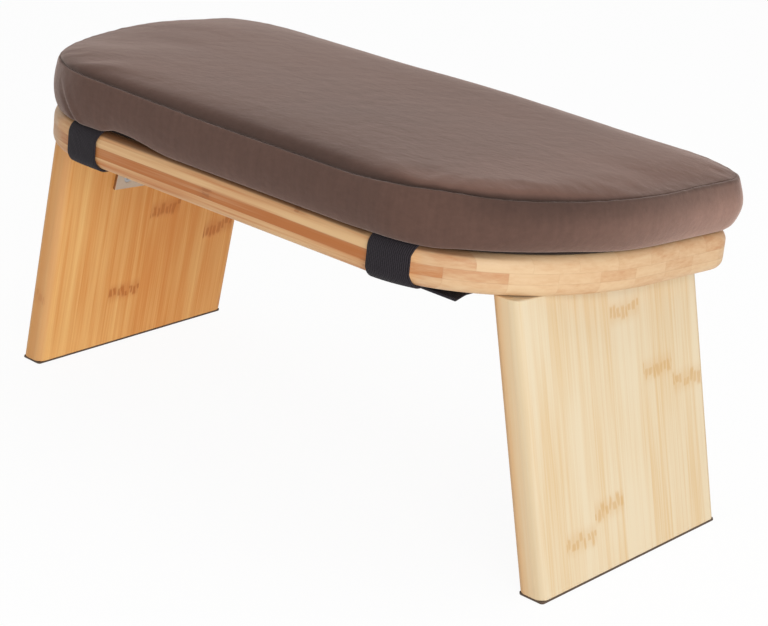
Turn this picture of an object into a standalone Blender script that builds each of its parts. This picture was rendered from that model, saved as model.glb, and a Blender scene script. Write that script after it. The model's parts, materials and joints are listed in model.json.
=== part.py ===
"""Folding kneeling bench: a laminated bamboo seat on two hinged panel legs, with a strapped-on cushion.

Metres, +Z up. The origin lies on the floor under the middle of the bench. +X runs along the seat
to its right end, -Y is the high rear edge and +Y the low front edge, where the sitter's knees point.
"""

import math

import bmesh
import bpy
from mathutils import Matrix, Vector

# Seat board
BOARD_LENGTH = 0.455
BOARD_DEPTH = 0.227
BOARD_THICKNESS = 0.0245
BOARD_EDGE_RADIUS = 0.007
REAR_CORNER_WIDTH = 0.1015
REAR_CORNER_DEPTH = 0.141
FRONT_CORNER_WIDTH = 0.0585
FRONT_CORNER_DEPTH = 0.031
SEAT_HEIGHT = 0.1702
SEAT_TILT = math.radians(4.4)

# Legs and foot pads
LEG_WIDTH = 0.168
LEG_THICKNESS = 0.019
LEG_EDGE_RADIUS = 0.006
LEG_SPLAY = math.radians(11.7)
LEG_END_INSET = 0.0432
LEG_FORWARD = 0.012
PAD_THICKNESS = 0.002

# Hinges
LEAF_LENGTH = 0.076
LEAF_WIDTH = 0.043
LEAF_THICKNESS = 0.002
KNUCKLE_RADIUS = 0.0035
KNUCKLE_COUNT = 5
PIN_RADIUS = 0.002
PIN_HEAD_RADIUS = 0.003
PIN_HEAD_LENGTH = 0.0012

# Wood screws
SCREW_LENGTH = 0.016
SCREW_SHANK_RADIUS = 0.0015
SCREW_HEAD_RADIUS = 0.0033
SCREW_TIP_RADIUS = 0.0004
SCREW_TIP_LENGTH = 0.004
OUTER_ROW_EDGE = 0.008
OUTER_ROW_END = 0.010
INNER_ROW_DROP = 0.016
INNER_ROW_SPACING = 0.026

# Cushion
CUSHION_SHIFT = 0.004
BAND_HEIGHT = 0.032
BAND_TOP = 0.0015
BAND_BULGE = 0.0035
BAND_FULLNESS = 0.7
CROWN_HEIGHT = 0.0075
CROWN_SQUARENESS = 4.0
COVER_THICKNESS = 0.0016
BASE_THICKNESS = 0.0015

# Straps
STRAP_WIDTH = 0.030
STRAP_THICKNESS = 0.0016
LEFT_STRAP_INSET = 0.058
RIGHT_STRAP_INSET = 0.039
LEFT_TAIL_SKEW = 0.003
RIGHT_TAIL_SKEW = 0.0135
LEFT_TAIL_DROOP = 0.0003
RIGHT_TAIL_DROOP = 0.002
REAR_STRAP_REACH = 0.068
STRAP_OVERLAP = 0.030
STRAP_RAMP = 0.004
TAIL_LENGTH = 0.0085
PATCH_LENGTH = 0.024
PATCH_WIDTH = 0.024
PATCH_THICKNESS = 0.0008

# Clearances between pieces
SEATING_GAP = 0.0003
KNUCKLE_GAP = 0.0003
SCREW_CLEARANCE = 0.0003

# Facets
CORNER_STEPS = {"rear": 14, "front": 8}
EDGE_STEPS = 6
ROUND_STEPS = 4
TURNED_SIDES = 12
KNUCKLE_STEPS = 18
STRAP_STATIONS = 4
OUTER_BAND_LEVELS = (0.1, 0.35, 0.65, 0.9, 1.0)
INNER_BAND_LEVELS = (0.1, 0.5, 1.0)
OUTER_CROWN_LEVELS = (0.985, 0.95, 0.88, 0.72, 0.40)
INNER_CROWN_LEVELS = (0.97, 0.85, 0.50)
SMOOTH_ANGLE = math.radians(35)
SCREW_SMOOTH_ANGLE = math.radians(50)
MERGE_DISTANCE = 1e-7

HALF_LENGTH = BOARD_LENGTH / 2
HALF_DEPTH = BOARD_DEPTH / 2
OPENING_ANGLE = math.pi / 2 + LEG_SPLAY
LEG_RAKE = math.atan(math.tan(SEAT_TILT) * math.cos(LEG_SPLAY))
AXIS_DROP = KNUCKLE_RADIUS + SEATING_GAP
AXIS_X = HALF_LENGTH - LEG_END_INSET - AXIS_DROP / math.tan(OPENING_ANGLE / 2)
CUSHION_Z = BOARD_THICKNESS + SEATING_GAP


def remove_everything():
    """Start from an empty scene."""
    for item in list(bpy.data.objects):
        bpy.data.objects.remove(item)


def finish(name, colour, roughness, metallic=0.0):
    """A plain surface with the piece's colour and gloss."""
    material = bpy.data.materials.new(name)
    material.use_nodes = True
    shader = material.node_tree.nodes["Principled BSDF"]
    shader.inputs["Base Color"].default_value = (*colour, 1.0)
    shader.inputs["Roughness"].default_value = roughness
    shader.inputs["Metallic"].default_value = metallic
    return material


def to_mesh(name, bm, material=None, smooth_angle=SMOOTH_ANGLE):
    """Close up a bmesh into a mesh whose faces point outwards."""
    bmesh.ops.remove_doubles(bm, verts=bm.verts, dist=MERGE_DISTANCE)
    bmesh.ops.recalc_face_normals(bm, faces=bm.faces)
    mesh = bpy.data.meshes.new(name)
    bm.to_mesh(mesh)
    bm.free()
    mesh.shade_smooth()
    mesh.set_sharp_from_angle(angle=smooth_angle)
    if material:
        mesh.materials.append(material)
    return mesh


def add_piece(name, mesh, parent, place=Matrix()):
    """Put one named piece into the scene, placed in its parent's frame."""
    piece = bpy.data.objects.new(name, mesh)
    bpy.context.scene.collection.objects.link(piece)
    piece.parent = parent
    piece.matrix_basis = place
    return piece


def add_cutter(name, mesh, parent, place, targets):
    """Put a hidden cutting shape into the scene and take it out of each target."""
    cutter = add_piece(name, mesh, parent, place)
    cutter.hide_render = True
    cutter.display_type = "WIRE"
    for target in targets:
        cut = target.modifiers.new(name, "BOOLEAN")
        cut.operation = "DIFFERENCE"
        cut.solver = "EXACT"
        cut.object = cutter
    return cutter


def add_ring(bm, points):
    return [bm.verts.new(point) for point in points]


def bridge(bm, lower, upper):
    """Quads between two rings with the same number of points."""
    for index in range(len(lower)):
        after = (index + 1) % len(lower)
        bm.faces.new((lower[index], lower[after], upper[after], upper[index]))


def loft(bm, rings):
    """Skin a stack of rings into a closed body, with a flat cap at each end."""
    loops = [add_ring(bm, ring) for ring in rings]
    for lower, upper in zip(loops, loops[1:]):
        bridge(bm, lower, upper)
    bm.faces.new(loops[0])
    bm.faces.new(loops[-1])
    return bm


def turned(bm, profile, centre=Vector(), sides=TURNED_SIDES):
    """A body turned about local X from (distance along X, radius) pairs."""
    rings = []
    for along, radius in profile:
        angles = [2 * math.pi * (side + 0.5) / sides for side in range(sides)]
        rings.append([centre + Vector((along, radius * math.cos(a), radius * math.sin(a))) for a in angles])
    return loft(bm, rings)


def seat_corners():
    """Centre, half width, half depth, start angle and steps of the plan's four elliptical corners."""
    rear_x = HALF_LENGTH - REAR_CORNER_WIDTH
    rear_y = REAR_CORNER_DEPTH - HALF_DEPTH
    front_x = HALF_LENGTH - FRONT_CORNER_WIDTH
    front_y = HALF_DEPTH - FRONT_CORNER_DEPTH
    rear = (REAR_CORNER_WIDTH, REAR_CORNER_DEPTH)
    front = (FRONT_CORNER_WIDTH, FRONT_CORNER_DEPTH)
    return (
        ((rear_x, rear_y), rear, -90, CORNER_STEPS["rear"]),
        ((front_x, front_y), front, 0, CORNER_STEPS["front"]),
        ((-front_x, front_y), front, 90, CORNER_STEPS["front"]),
        ((-rear_x, rear_y), rear, 180, CORNER_STEPS["rear"]),
    )


def seat_outline(grow, z, shrink=1.0):
    """The seat's plan at one height, grown outwards by a distance and then drawn in towards its middle."""
    arcs = []
    for (x, y), (width, depth), start, steps in seat_corners():
        arc = []
        for step in range(steps + 1):
            angle = math.radians(start + 90 * step / steps)
            outward = Vector((math.cos(angle) / width, math.sin(angle) / depth)).normalized()
            edge = Vector((x + width * math.cos(angle), y + depth * math.sin(angle)))
            arc.append((edge + grow * outward) * shrink)
        arcs.append(arc)
    points = []
    for arc, following in zip(arcs, arcs[1:] + arcs[:1]):
        points += arc
        points += [arc[-1].lerp(following[0], step / EDGE_STEPS) for step in range(1, EDGE_STEPS)]
    return [Vector((point.x, point.y, z)) for point in points]


def rear_edge_y(x):
    """The board's rear edge at a place along its length."""
    past_straight = max(0.0, abs(x) - (HALF_LENGTH - REAR_CORNER_WIDTH))
    share = past_straight / REAR_CORNER_WIDTH
    return REAR_CORNER_DEPTH * (1 - math.sqrt(1 - share * share)) - HALF_DEPTH


def seat_board(material):
    """The laminated board, rounded over along its upper and lower edges."""
    quarter = [math.pi / 2 * step / ROUND_STEPS for step in range(ROUND_STEPS + 1)]
    radius = BOARD_EDGE_RADIUS
    lower = [seat_outline(radius * (math.sin(a) - 1), radius * (1 - math.cos(a))) for a in quarter]
    upper = []
    for angle in reversed(quarter):
        height = BOARD_THICKNESS - radius * (1 - math.cos(angle))
        upper.append(seat_outline(radius * (math.sin(angle) - 1), height))
    return to_mesh("seat_board", loft(bmesh.new(), lower + upper), material)


def rounded_rectangle(inner, outer, half_width, radius, steps):
    """A panel's section across its length: local X through its thickness, local Y across its width."""
    corners = (
        (outer - radius, half_width - radius, 0),
        (inner + radius, half_width - radius, 90),
        (inner + radius, radius - half_width, 180),
        (outer - radius, radius - half_width, 270),
    )
    points = []
    for x, y, start in corners:
        for step in range(steps + 1):
            angle = math.radians(start + 90 * step / max(steps, 1))
            points.append(Vector((x + radius * math.cos(angle), y + radius * math.sin(angle), 0)))
    return points


def sawn_panel(name, material, section, frame, planes):
    """A straight panel with the given section, sawn off by planes given as world points and normals."""
    bm = bmesh.new()
    reach = Vector((0, 0, 2 * SEAT_HEIGHT))
    bridge(bm, add_ring(bm, [p - reach for p in section]), add_ring(bm, [p + reach for p in section]))
    to_panel = frame.inverted()
    for point, normal in planes:
        everything = bm.verts[:] + bm.edges[:] + bm.faces[:]
        bmesh.ops.bisect_plane(
            bm,
            geom=everything,
            dist=MERGE_DISTANCE,
            plane_co=to_panel @ point,
            plane_no=to_panel.to_3x3() @ normal,
            clear_outer=True,
        )
    open_edges = [edge for edge in bm.edges if edge.is_boundary]
    bmesh.ops.holes_fill(bm, edges=open_edges, sides=0)
    return to_mesh(name, bm, material)


def leg_section(radius, steps):
    inner = KNUCKLE_RADIUS + SEATING_GAP
    return rounded_rectangle(inner, inner + LEG_THICKNESS, LEG_WIDTH / 2, radius, steps)


def knuckle_spans():
    """Where each knuckle starts and ends along the pin."""
    length = (LEAF_LENGTH - (KNUCKLE_COUNT - 1) * KNUCKLE_GAP) / KNUCKLE_COUNT
    starts = [index * (length + KNUCKLE_GAP) - LEAF_LENGTH / 2 for index in range(KNUCKLE_COUNT)]
    return [(start, start + length) for start in starts]


def leaf_mesh(name, material, mount, owned):
    """One hinge leaf: a plate down local -Z with knuckles rolled round the pin along local Y.

    The plate's screwed face lies on the side of the pin that mount gives, 1 or -1 along local X,
    and owned lists the knuckles that belong to this leaf.
    """
    radius = KNUCKLE_RADIUS
    face = radius
    back = radius - LEAF_THICKNESS
    shoulder = -(radius + KNUCKLE_GAP)
    spans = knuckle_spans()
    bm = bmesh.new()

    def at(x, y, z):
        return bm.verts.new((mount * x, y, z))

    stations = [y for span in spans for y in span]
    section = ((face, -LEAF_WIDTH), (face, shoulder), (back, shoulder), (back, -LEAF_WIDTH))
    rows = [[at(x, y, z) for x, z in section] for y in stations]
    for index, (row, following) in enumerate(zip(rows, rows[1:])):
        under_own_knuckle = index % 2 == 0 and index // 2 in owned
        for corner in range(4):
            if corner == 1 and under_own_knuckle:
                continue
            after = (corner + 1) % 4
            bm.faces.new((row[corner], row[after], following[after], following[corner]))
    bm.faces.new(rows[0])
    bm.faces.new(rows[-1])

    wrap = 2 * math.pi - math.acos(back / radius)
    angles = [wrap * step / KNUCKLE_STEPS for step in range(KNUCKLE_STEPS + 1)]
    curl = [(radius * math.cos(a), radius * math.sin(a)) for a in angles]
    rolled = [(face, shoulder)] + curl + [(back, shoulder)]
    for index in owned:
        ends = [[at(x, y, z) for x, z in rolled] for y in spans[index]]
        for point in range(len(rolled) - 1):
            bm.faces.new((ends[0][point], ends[0][point + 1], ends[1][point + 1], ends[1][point]))
        bm.faces.new(ends[0])
        bm.faces.new(ends[1])
    return to_mesh(name, bm, material)


def screw_places():
    """Each screw's place on a leaf, along the pin and down from it."""
    outer_y = LEAF_LENGTH / 2 - OUTER_ROW_END
    outer_z = OUTER_ROW_EDGE - LEAF_WIDTH
    inner_y = INNER_ROW_SPACING / 2
    return ((-outer_y, outer_z), (outer_y, outer_z), (-inner_y, -INNER_ROW_DROP), (inner_y, -INNER_ROW_DROP))


def screw_profile(grow=0.0):
    """A countersunk screw along local X, its head's flat face at zero."""
    neck = SCREW_HEAD_RADIUS - SCREW_SHANK_RADIUS
    return [
        (0.0, SCREW_HEAD_RADIUS + grow),
        (neck, SCREW_SHANK_RADIUS + grow),
        (SCREW_LENGTH - SCREW_TIP_LENGTH, SCREW_SHANK_RADIUS + grow),
        (SCREW_LENGTH + grow, SCREW_TIP_RADIUS + grow),
    ]


def screw_mesh(material):
    return to_mesh("wood_screw", turned(bmesh.new(), screw_profile()), material, SCREW_SMOOTH_ANGLE)


def leaf_cutter_mesh():
    """The pin's bore and the countersunk holes of a leaf whose screws go in along local X."""
    bm = bmesh.new()
    bore = PIN_RADIUS + KNUCKLE_GAP
    end = LEAF_LENGTH
    for along, down in screw_places():
        head = Vector((KNUCKLE_RADIUS - LEAF_THICKNESS, along, down))
        outside = (-LEAF_THICKNESS, SCREW_HEAD_RADIUS + SCREW_CLEARANCE)
        turned(bm, [outside] + screw_profile(SCREW_CLEARANCE), head)
    angles = [2 * math.pi * side / KNUCKLE_STEPS for side in range(KNUCKLE_STEPS)]
    round_bore = [Vector((bore * math.cos(a), 0, bore * math.sin(a))) for a in angles]
    loft(bm, [[p + Vector((0, y, 0)) for p in round_bore] for y in (-end, end)])
    return to_mesh("leaf_cutter", bm)


def pilot_cutter_mesh():
    """The pilot holes in the wood behind a leaf."""
    bm = bmesh.new()
    radius = SCREW_SHANK_RADIUS + SCREW_CLEARANCE
    depth = SCREW_LENGTH + SCREW_CLEARANCE
    for along, down in screw_places():
        head = Vector((KNUCKLE_RADIUS - LEAF_THICKNESS, along, down))
        turned(bm, [(0.0, radius), (depth, radius)], head)
    return to_mesh("pilot_cutter", bm)


def pin_mesh(material):
    """The hinge pin along local X, with a flat head at each end."""
    shaft = LEAF_LENGTH / 2 + KNUCKLE_GAP
    end = shaft + PIN_HEAD_LENGTH
    profile = [
        (-end, PIN_HEAD_RADIUS),
        (-shaft, PIN_HEAD_RADIUS),
        (-shaft, PIN_RADIUS),
        (shaft, PIN_RADIUS),
        (shaft, PIN_HEAD_RADIUS),
        (end, PIN_HEAD_RADIUS),
    ]
    return to_mesh("hinge_pin", turned(bmesh.new(), profile), material)


def band_grow(share):
    """How far the cushion's side band stands out from the board at a share of the band's height."""
    swell = math.sin(math.pi * share) ** BAND_FULLNESS if 0 < share < 1 else 0.0
    return BAND_TOP * share + BAND_BULGE * swell


def crown_rise(shrink):
    """How far the cushion's top stands above the seam at a share of the way out from its middle."""
    return CROWN_HEIGHT * math.sqrt(1 - shrink ** CROWN_SQUARENESS)


def cushion_rings(inset, foot, band_levels, crown_levels):
    """The cushion's form as rings from its foot to near its middle, drawn in everywhere by an inset."""
    seam = BAND_HEIGHT - inset
    rings = []
    for height in [foot] + [share * seam for share in band_levels]:
        rings.append(seat_outline(band_grow(height / seam) - inset, height))
    for shrink in crown_levels:
        rings.append(seat_outline(BAND_TOP - inset, seam + crown_rise(shrink), shrink))
    return rings


def cushion_skin():
    """The cushion's outer surface."""
    return cushion_rings(0.0, 0.0, OUTER_BAND_LEVELS, OUTER_CROWN_LEVELS)


def dome(bm, rings, peak):
    """An open dome of rings closed by a fan at its middle; returns the ring round its foot."""
    loops = [add_ring(bm, ring) for ring in rings]
    for lower, upper in zip(loops, loops[1:]):
        bridge(bm, lower, upper)
    middle = bm.verts.new((0, 0, peak))
    last = loops[-1]
    for index in range(len(last)):
        bm.faces.new((last[index], last[(index + 1) % len(last)], middle))
    return loops[0]


def cushion_cover(material):
    """Top panel and side band in one skin, open underneath."""
    bm = bmesh.new()
    peak = BAND_HEIGHT + CROWN_HEIGHT
    outer = dome(bm, cushion_skin(), peak)
    inner_rings = cushion_rings(COVER_THICKNESS, 0.0, INNER_BAND_LEVELS, INNER_CROWN_LEVELS)
    inner = dome(bm, inner_rings, peak - COVER_THICKNESS)
    bridge(bm, outer, inner)
    return to_mesh("cushion_cover", bm, material)


def cushion_foam(material):
    """The foam slab, a clearance inside the cover and above the base panel."""
    bm = bmesh.new()
    inset = COVER_THICKNESS + SEATING_GAP
    floor = BASE_THICKNESS + SEATING_GAP
    rings = cushion_rings(inset, floor, INNER_BAND_LEVELS, INNER_CROWN_LEVELS)
    foot = dome(bm, rings, BAND_HEIGHT + CROWN_HEIGHT - inset)
    bm.faces.new(foot)
    return to_mesh("cushion_foam", bm, material)


def cushion_base(material):
    """The flat panel that closes the cover from below."""
    grow = -COVER_THICKNESS - SEATING_GAP
    rings = [seat_outline(grow, height) for height in (0.0, BASE_THICKNESS)]
    return to_mesh("cushion_base", loft(bmesh.new(), rings), material)


def wrap_path(edge_y, inward, layer):
    """Round the board's edge at one distance from the wood, as (y, z) from the top to the underside.

    inward is 1 on the rear edge and -1 on the front edge. The webbing starts just below the cushion.
    """
    radius = BOARD_EDGE_RADIUS + layer
    full = BOARD_EDGE_RADIUS + SEATING_GAP + STRAP_THICKNESS
    start = math.asin(BOARD_EDGE_RADIUS / full)
    centre_y = edge_y + inward * BOARD_EDGE_RADIUS
    upper = [start * (1 - step / ROUND_STEPS) for step in range(ROUND_STEPS + 1)]
    lower = [-math.pi / 2 * step / ROUND_STEPS for step in range(ROUND_STEPS + 1)]
    path = []
    for angles, centre_z in ((upper, BOARD_THICKNESS - BOARD_EDGE_RADIUS), (lower, BOARD_EDGE_RADIUS)):
        for angle in angles:
            path.append((centre_y - inward * radius * math.cos(angle), centre_z + radius * math.sin(angle)))
    return path


def webbing(name, material, columns):
    """A flat band from columns along its length, each a list of (near face point, far face point) pairs."""
    bm = bmesh.new()
    near = [[bm.verts.new(pair[0]) for pair in column] for column in columns]
    far = [[bm.verts.new(pair[1]) for pair in column] for column in columns]
    for face in (near, far):
        for column, following in zip(face, face[1:]):
            for index in range(len(column) - 1):
                quad = (column[index], column[index + 1], following[index + 1], following[index])
                bm.faces.new(quad)
    for side in (0, -1):
        for index in range(len(near[side]) - 1):
            bm.faces.new((near[side][index], near[side][index + 1], far[side][index + 1], far[side][index]))
    for end in (0, -1):
        for column in range(len(near) - 1):
            bm.faces.new((near[column][end], near[column + 1][end], far[column + 1][end], far[column][end]))
    return to_mesh(name, bm, material)


def strap_stations(centre):
    left = centre - STRAP_WIDTH / 2
    return [left + STRAP_WIDTH * station / STRAP_STATIONS for station in range(STRAP_STATIONS + 1)]


def rear_strap_end():
    return REAR_STRAP_REACH - HALF_DEPTH


def closure_depth():
    """How far the front strap's upper face lies below the board where the two ends close."""
    return 4 * SEATING_GAP + STRAP_THICKNESS + 2 * PATCH_THICKNESS


def rear_strap(name, material, centre):
    """Short end: out of the cushion's rear seam, round the edge and a little way under the board."""
    columns = []
    for x in strap_stations(centre):
        faces = []
        for layer in (SEATING_GAP, SEATING_GAP + STRAP_THICKNESS):
            path = wrap_path(rear_edge_y(x), 1, layer) + [(rear_strap_end(), -layer)]
            faces.append([Vector((x, y, z)) for y, z in path])
        columns.append(list(zip(*faces)))
    return webbing(name, material, columns)


def closure_end():
    return rear_strap_end() - STRAP_OVERLAP


def front_strap_run(droop):
    """The long end's upper face under the board, as (y, depth below the board) from front to rear."""
    hinge_clear = 2 * SEATING_GAP + LEAF_THICKNESS
    half_leaf = LEAF_LENGTH / 2 + PIN_HEAD_LENGTH
    return [
        (LEG_FORWARD + half_leaf, hinge_clear),
        (LEG_FORWARD - half_leaf, hinge_clear),
        (rear_strap_end() + STRAP_RAMP, closure_depth()),
        (closure_end(), closure_depth()),
        (closure_end() - TAIL_LENGTH, closure_depth() + droop),
    ]


def front_strap_shift(y, skew):
    """How far the long end has wandered sideways by a place under the board."""
    start = HALF_DEPTH - BOARD_EDGE_RADIUS
    end = closure_end() - TAIL_LENGTH
    return skew * max(0.0, (start - y) / (start - end))


def front_strap(name, material, centre, skew, droop):
    """Long end: out of the cushion's front seam, round the edge and under the board to the closure."""
    columns = []
    for x in strap_stations(centre):
        faces = []
        for layer in (SEATING_GAP, SEATING_GAP + STRAP_THICKNESS):
            extra = layer - SEATING_GAP
            path = wrap_path(HALF_DEPTH, -1, layer)
            path += [(y, -depth - extra) for y, depth in front_strap_run(droop)]
            faces.append([Vector((x + front_strap_shift(y, skew), y, z)) for y, z in path])
        columns.append(list(zip(*faces)))
    return webbing(name, material, columns)


def closure_patch(name, material, centre, upper):
    """A square of hook or loop tape with its upper face at a depth below the board."""
    middle = rear_strap_end() - STRAP_OVERLAP / 2
    half_x = PATCH_WIDTH / 2
    half_y = PATCH_LENGTH / 2
    square = ((-half_x, -half_y), (half_x, -half_y), (half_x, half_y), (-half_x, half_y))
    rings = []
    for z in (-upper - PATCH_THICKNESS, -upper):
        rings.append([Vector((centre + x, middle + y, z)) for x, y in square])
    return to_mesh(name, loft(bmesh.new(), rings), material)


def seat_matrix():
    """The seat's frame in the world: its underside's middle, sloping to the front.

    The bench's middle lies halfway between the furthest points of its cushion and rear straps.
    """
    slope = Matrix.Rotation(-SEAT_TILT, 4, "X")
    lift = Vector((0, 0, CUSHION_Z))
    outermost = [point + lift for ring in cushion_skin() for point in ring]
    strap_back = -HALF_DEPTH - SEATING_GAP - STRAP_THICKNESS
    outermost.append(Vector((0, strap_back, BOARD_EDGE_RADIUS)))
    reach = [(slope @ point).y for point in outermost]
    middle = (max(reach) + min(reach)) / 2
    return Matrix.Translation((0, -middle, SEAT_HEIGHT)) @ slope


def hinge_matrix(side):
    """A pin's frame under the seat: local Y along the pin, and local -X towards the other leg."""
    place = Matrix.Translation((side * AXIS_X, LEG_FORWARD, -AXIS_DROP))
    turn = Matrix.Rotation(0 if side > 0 else math.pi, 4, "Z")
    return place @ turn


def build_hinge(label, side, seat, leg_hinge, board, leg, steel, screw):
    """A butt hinge: seat leaf, leg leaf, pin and countersunk screws."""
    at_pin = hinge_matrix(side)
    under_seat = at_pin @ Matrix.Rotation(math.pi / 2, 4, "Y")
    flip = Matrix.Rotation(math.pi, 4, "Z")
    seat_knuckles = range(0, KNUCKLE_COUNT, 2)
    leg_knuckles = range(1, KNUCKLE_COUNT, 2)
    leaf_cut = leaf_cutter_mesh()
    pilot_cut = pilot_cutter_mesh()

    seat_leaf_mesh = leaf_mesh(f"{label}_seat_leaf", steel, -1, seat_knuckles)
    seat_leaf = add_piece(f"{label}_seat_leaf", seat_leaf_mesh, seat, under_seat)
    leg_leaf_mesh = leaf_mesh(f"{label}_leg_leaf", steel, 1, leg_knuckles)
    leg_leaf = add_piece(f"{label}_leg_leaf", leg_leaf_mesh, leg_hinge)
    add_piece(f"{label}_hinge_pin", pin_mesh(steel), seat, at_pin @ Matrix.Rotation(math.pi / 2, 4, "Z"))

    add_cutter(f"{label}_seat_leaf_holes", leaf_cut, seat, under_seat @ flip, [seat_leaf])
    add_cutter(f"{label}_seat_pilots", pilot_cut, seat, under_seat @ flip, [board])
    add_cutter(f"{label}_leg_leaf_holes", leaf_cut, leg_hinge, Matrix(), [leg_leaf])
    add_cutter(f"{label}_leg_pilots", pilot_cut, leg_hinge, Matrix(), [leg])

    head_x = KNUCKLE_RADIUS - LEAF_THICKNESS
    for number, (along, down) in enumerate(screw_places(), 1):
        place = Matrix.Translation((head_x, along, down))
        add_piece(f"{label}_seat_screw_{number}", screw, seat, under_seat @ flip @ place)
        add_piece(f"{label}_leg_screw_{number}", screw, leg_hinge, place)


def build_leg(label, side, seat, seat_frame, bamboo, rubber):
    """A splayed leg panel with its foot pad, both turning with an empty on the hinge's pin."""
    splayed = hinge_matrix(side) @ Matrix.Rotation(-LEG_SPLAY, 4, "Y")
    hinge = add_piece(f"{label}_leg_hinge", None, seat, splayed)
    raked = Matrix.Rotation(side * LEG_RAKE, 4, "X")
    frame = seat_frame @ splayed @ raked

    up = Vector((0, 0, 1))
    seat_up = seat_frame.to_3x3() @ up
    under_board = (seat_frame @ Vector((0, 0, -SEATING_GAP)), seat_up)
    above_pad = (up * (PAD_THICKNESS + SEATING_GAP), -up)
    pad_top = (up * PAD_THICKNESS, up)
    ground = (Vector(), -up)
    rounded = leg_section(LEG_EDGE_RADIUS, ROUND_STEPS)
    square = leg_section(0.0, 0)
    leg_mesh = sawn_panel(f"{label}_leg", bamboo, rounded, frame, (under_board, above_pad))
    pad_mesh = sawn_panel(f"{label}_foot_pad", rubber, square, frame, (pad_top, ground))
    leg = add_piece(f"{label}_leg", leg_mesh, hinge, raked)
    add_piece(f"{label}_foot_pad", pad_mesh, hinge, raked)
    return hinge, leg


def build_strap(label, centre, skew, droop, seat, webbing_finish, hook_finish):
    """Both ends of one strap and the patches that close them."""
    loop_depth = 2 * SEATING_GAP + STRAP_THICKNESS
    hook_depth = loop_depth + PATCH_THICKNESS + SEATING_GAP
    hook_x = centre + front_strap_shift(rear_strap_end() - STRAP_OVERLAP / 2, skew)
    rear = rear_strap(f"{label}_strap_rear", webbing_finish, centre)
    front = front_strap(f"{label}_strap_front", webbing_finish, centre, skew, droop)
    add_piece(f"{label}_strap_rear", rear, seat)
    add_piece(f"{label}_strap_front", front, seat)
    loop = closure_patch(f"{label}_loop_patch", hook_finish, centre, loop_depth)
    hook = closure_patch(f"{label}_hook_patch", hook_finish, hook_x, hook_depth)
    add_piece(f"{label}_loop_patch", loop, seat)
    add_piece(f"{label}_hook_patch", hook, seat)


def build_bench():
    remove_everything()
    bamboo = finish("bamboo", (0.76, 0.56, 0.32), 0.45)
    pile = finish("pile_fabric", (0.20, 0.145, 0.12), 0.9)
    foam = finish("foam", (0.85, 0.80, 0.62), 0.95)
    lining = finish("lining", (0.10, 0.08, 0.07), 0.9)
    black = finish("webbing", (0.025, 0.024, 0.03), 0.8)
    tape = finish("closure_tape", (0.03, 0.03, 0.035), 0.9)
    steel = finish("zinc_steel", (0.62, 0.61, 0.63), 0.35, 1.0)
    rubber = finish("foot_rubber", (0.10, 0.085, 0.075), 0.85)

    seat_frame = seat_matrix()
    seat = add_piece("seat_frame", None, None, seat_frame)
    board = add_piece("seat_board", seat_board(bamboo), seat)

    on_board = Matrix.Translation((CUSHION_SHIFT, 0, CUSHION_Z))
    add_piece("cushion_cover", cushion_cover(pile), seat, on_board)
    add_piece("cushion_foam", cushion_foam(foam), seat, on_board)
    add_piece("cushion_base", cushion_base(lining), seat, on_board)

    left_strap_x = LEFT_STRAP_INSET - AXIS_X
    right_strap_x = AXIS_X - RIGHT_STRAP_INSET
    build_strap("left", left_strap_x, LEFT_TAIL_SKEW, LEFT_TAIL_DROOP, seat, black, tape)
    build_strap("right", right_strap_x, RIGHT_TAIL_SKEW, RIGHT_TAIL_DROOP, seat, black, tape)

    screw = screw_mesh(steel)
    for label, side in (("left", -1), ("right", 1)):
        hinge, leg = build_leg(label, side, seat, seat_frame, bamboo, rubber)
        build_hinge(label, side, seat, hinge, board, leg, steel, screw)


build_bench()
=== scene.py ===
# %% [markdown]
# # Folding kneeling bench
# A low bench for kneeling meditation: a sloping bamboo seat, two bamboo legs that fold up under it on
# butt hinges, and a foam cushion that two black straps hold to the seat. The solids come from the packed
# part and stay where they are. This lesson dresses them: wood with its strips and node marks, a cushion
# puffed by cloth simulation, woven straps, hook and loop tape, screws, light and a camera.

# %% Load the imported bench
import json
import math

import bmesh
import bpy
import numpy as np
from mathutils import Matrix, Vector, noise


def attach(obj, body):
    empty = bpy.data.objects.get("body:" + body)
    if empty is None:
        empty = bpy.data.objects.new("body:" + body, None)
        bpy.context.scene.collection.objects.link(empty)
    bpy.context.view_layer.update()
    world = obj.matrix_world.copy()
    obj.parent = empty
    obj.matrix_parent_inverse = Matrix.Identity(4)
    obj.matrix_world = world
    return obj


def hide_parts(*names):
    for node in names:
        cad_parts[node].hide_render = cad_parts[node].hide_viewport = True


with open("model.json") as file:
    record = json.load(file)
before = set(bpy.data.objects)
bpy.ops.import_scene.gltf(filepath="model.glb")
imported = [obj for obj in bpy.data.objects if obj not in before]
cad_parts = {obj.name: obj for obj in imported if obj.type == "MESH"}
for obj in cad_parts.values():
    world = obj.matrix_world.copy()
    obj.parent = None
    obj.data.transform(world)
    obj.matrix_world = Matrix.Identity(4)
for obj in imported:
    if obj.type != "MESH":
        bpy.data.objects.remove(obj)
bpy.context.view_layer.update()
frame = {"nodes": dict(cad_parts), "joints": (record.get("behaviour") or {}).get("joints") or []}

# %% [markdown]
# The seat slopes to the front, so almost every piece is easiest to shape lying flat and is then laid
# on the seat. The slope and the place of the hinge pin are read from the joint, which keeps them exact,
# instead of being measured again from the mesh.

# %% Find the seat's own frame
PIN_FORWARD = 0.012
PIN_DROP = 0.0038

right_fold = next(joint for joint in frame["joints"] if joint["name"] == "right_leg_fold")
pin_point = Vector(right_fold["pos_m"])
pin_line = Vector(right_fold["axis"])
seat_slope = math.atan2(-pin_line.z, pin_line.y)
pin_on_seat = Vector((pin_point.x, PIN_FORWARD, -PIN_DROP))
seat_turn = Matrix.Rotation(-seat_slope, 4, "X")
seat_place = Matrix.Translation(pin_point) @ seat_turn @ Matrix.Translation(-pin_on_seat)
print("seat slopes", round(math.degrees(seat_slope), 2), "degrees from", list(seat_place.translation))

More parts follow.
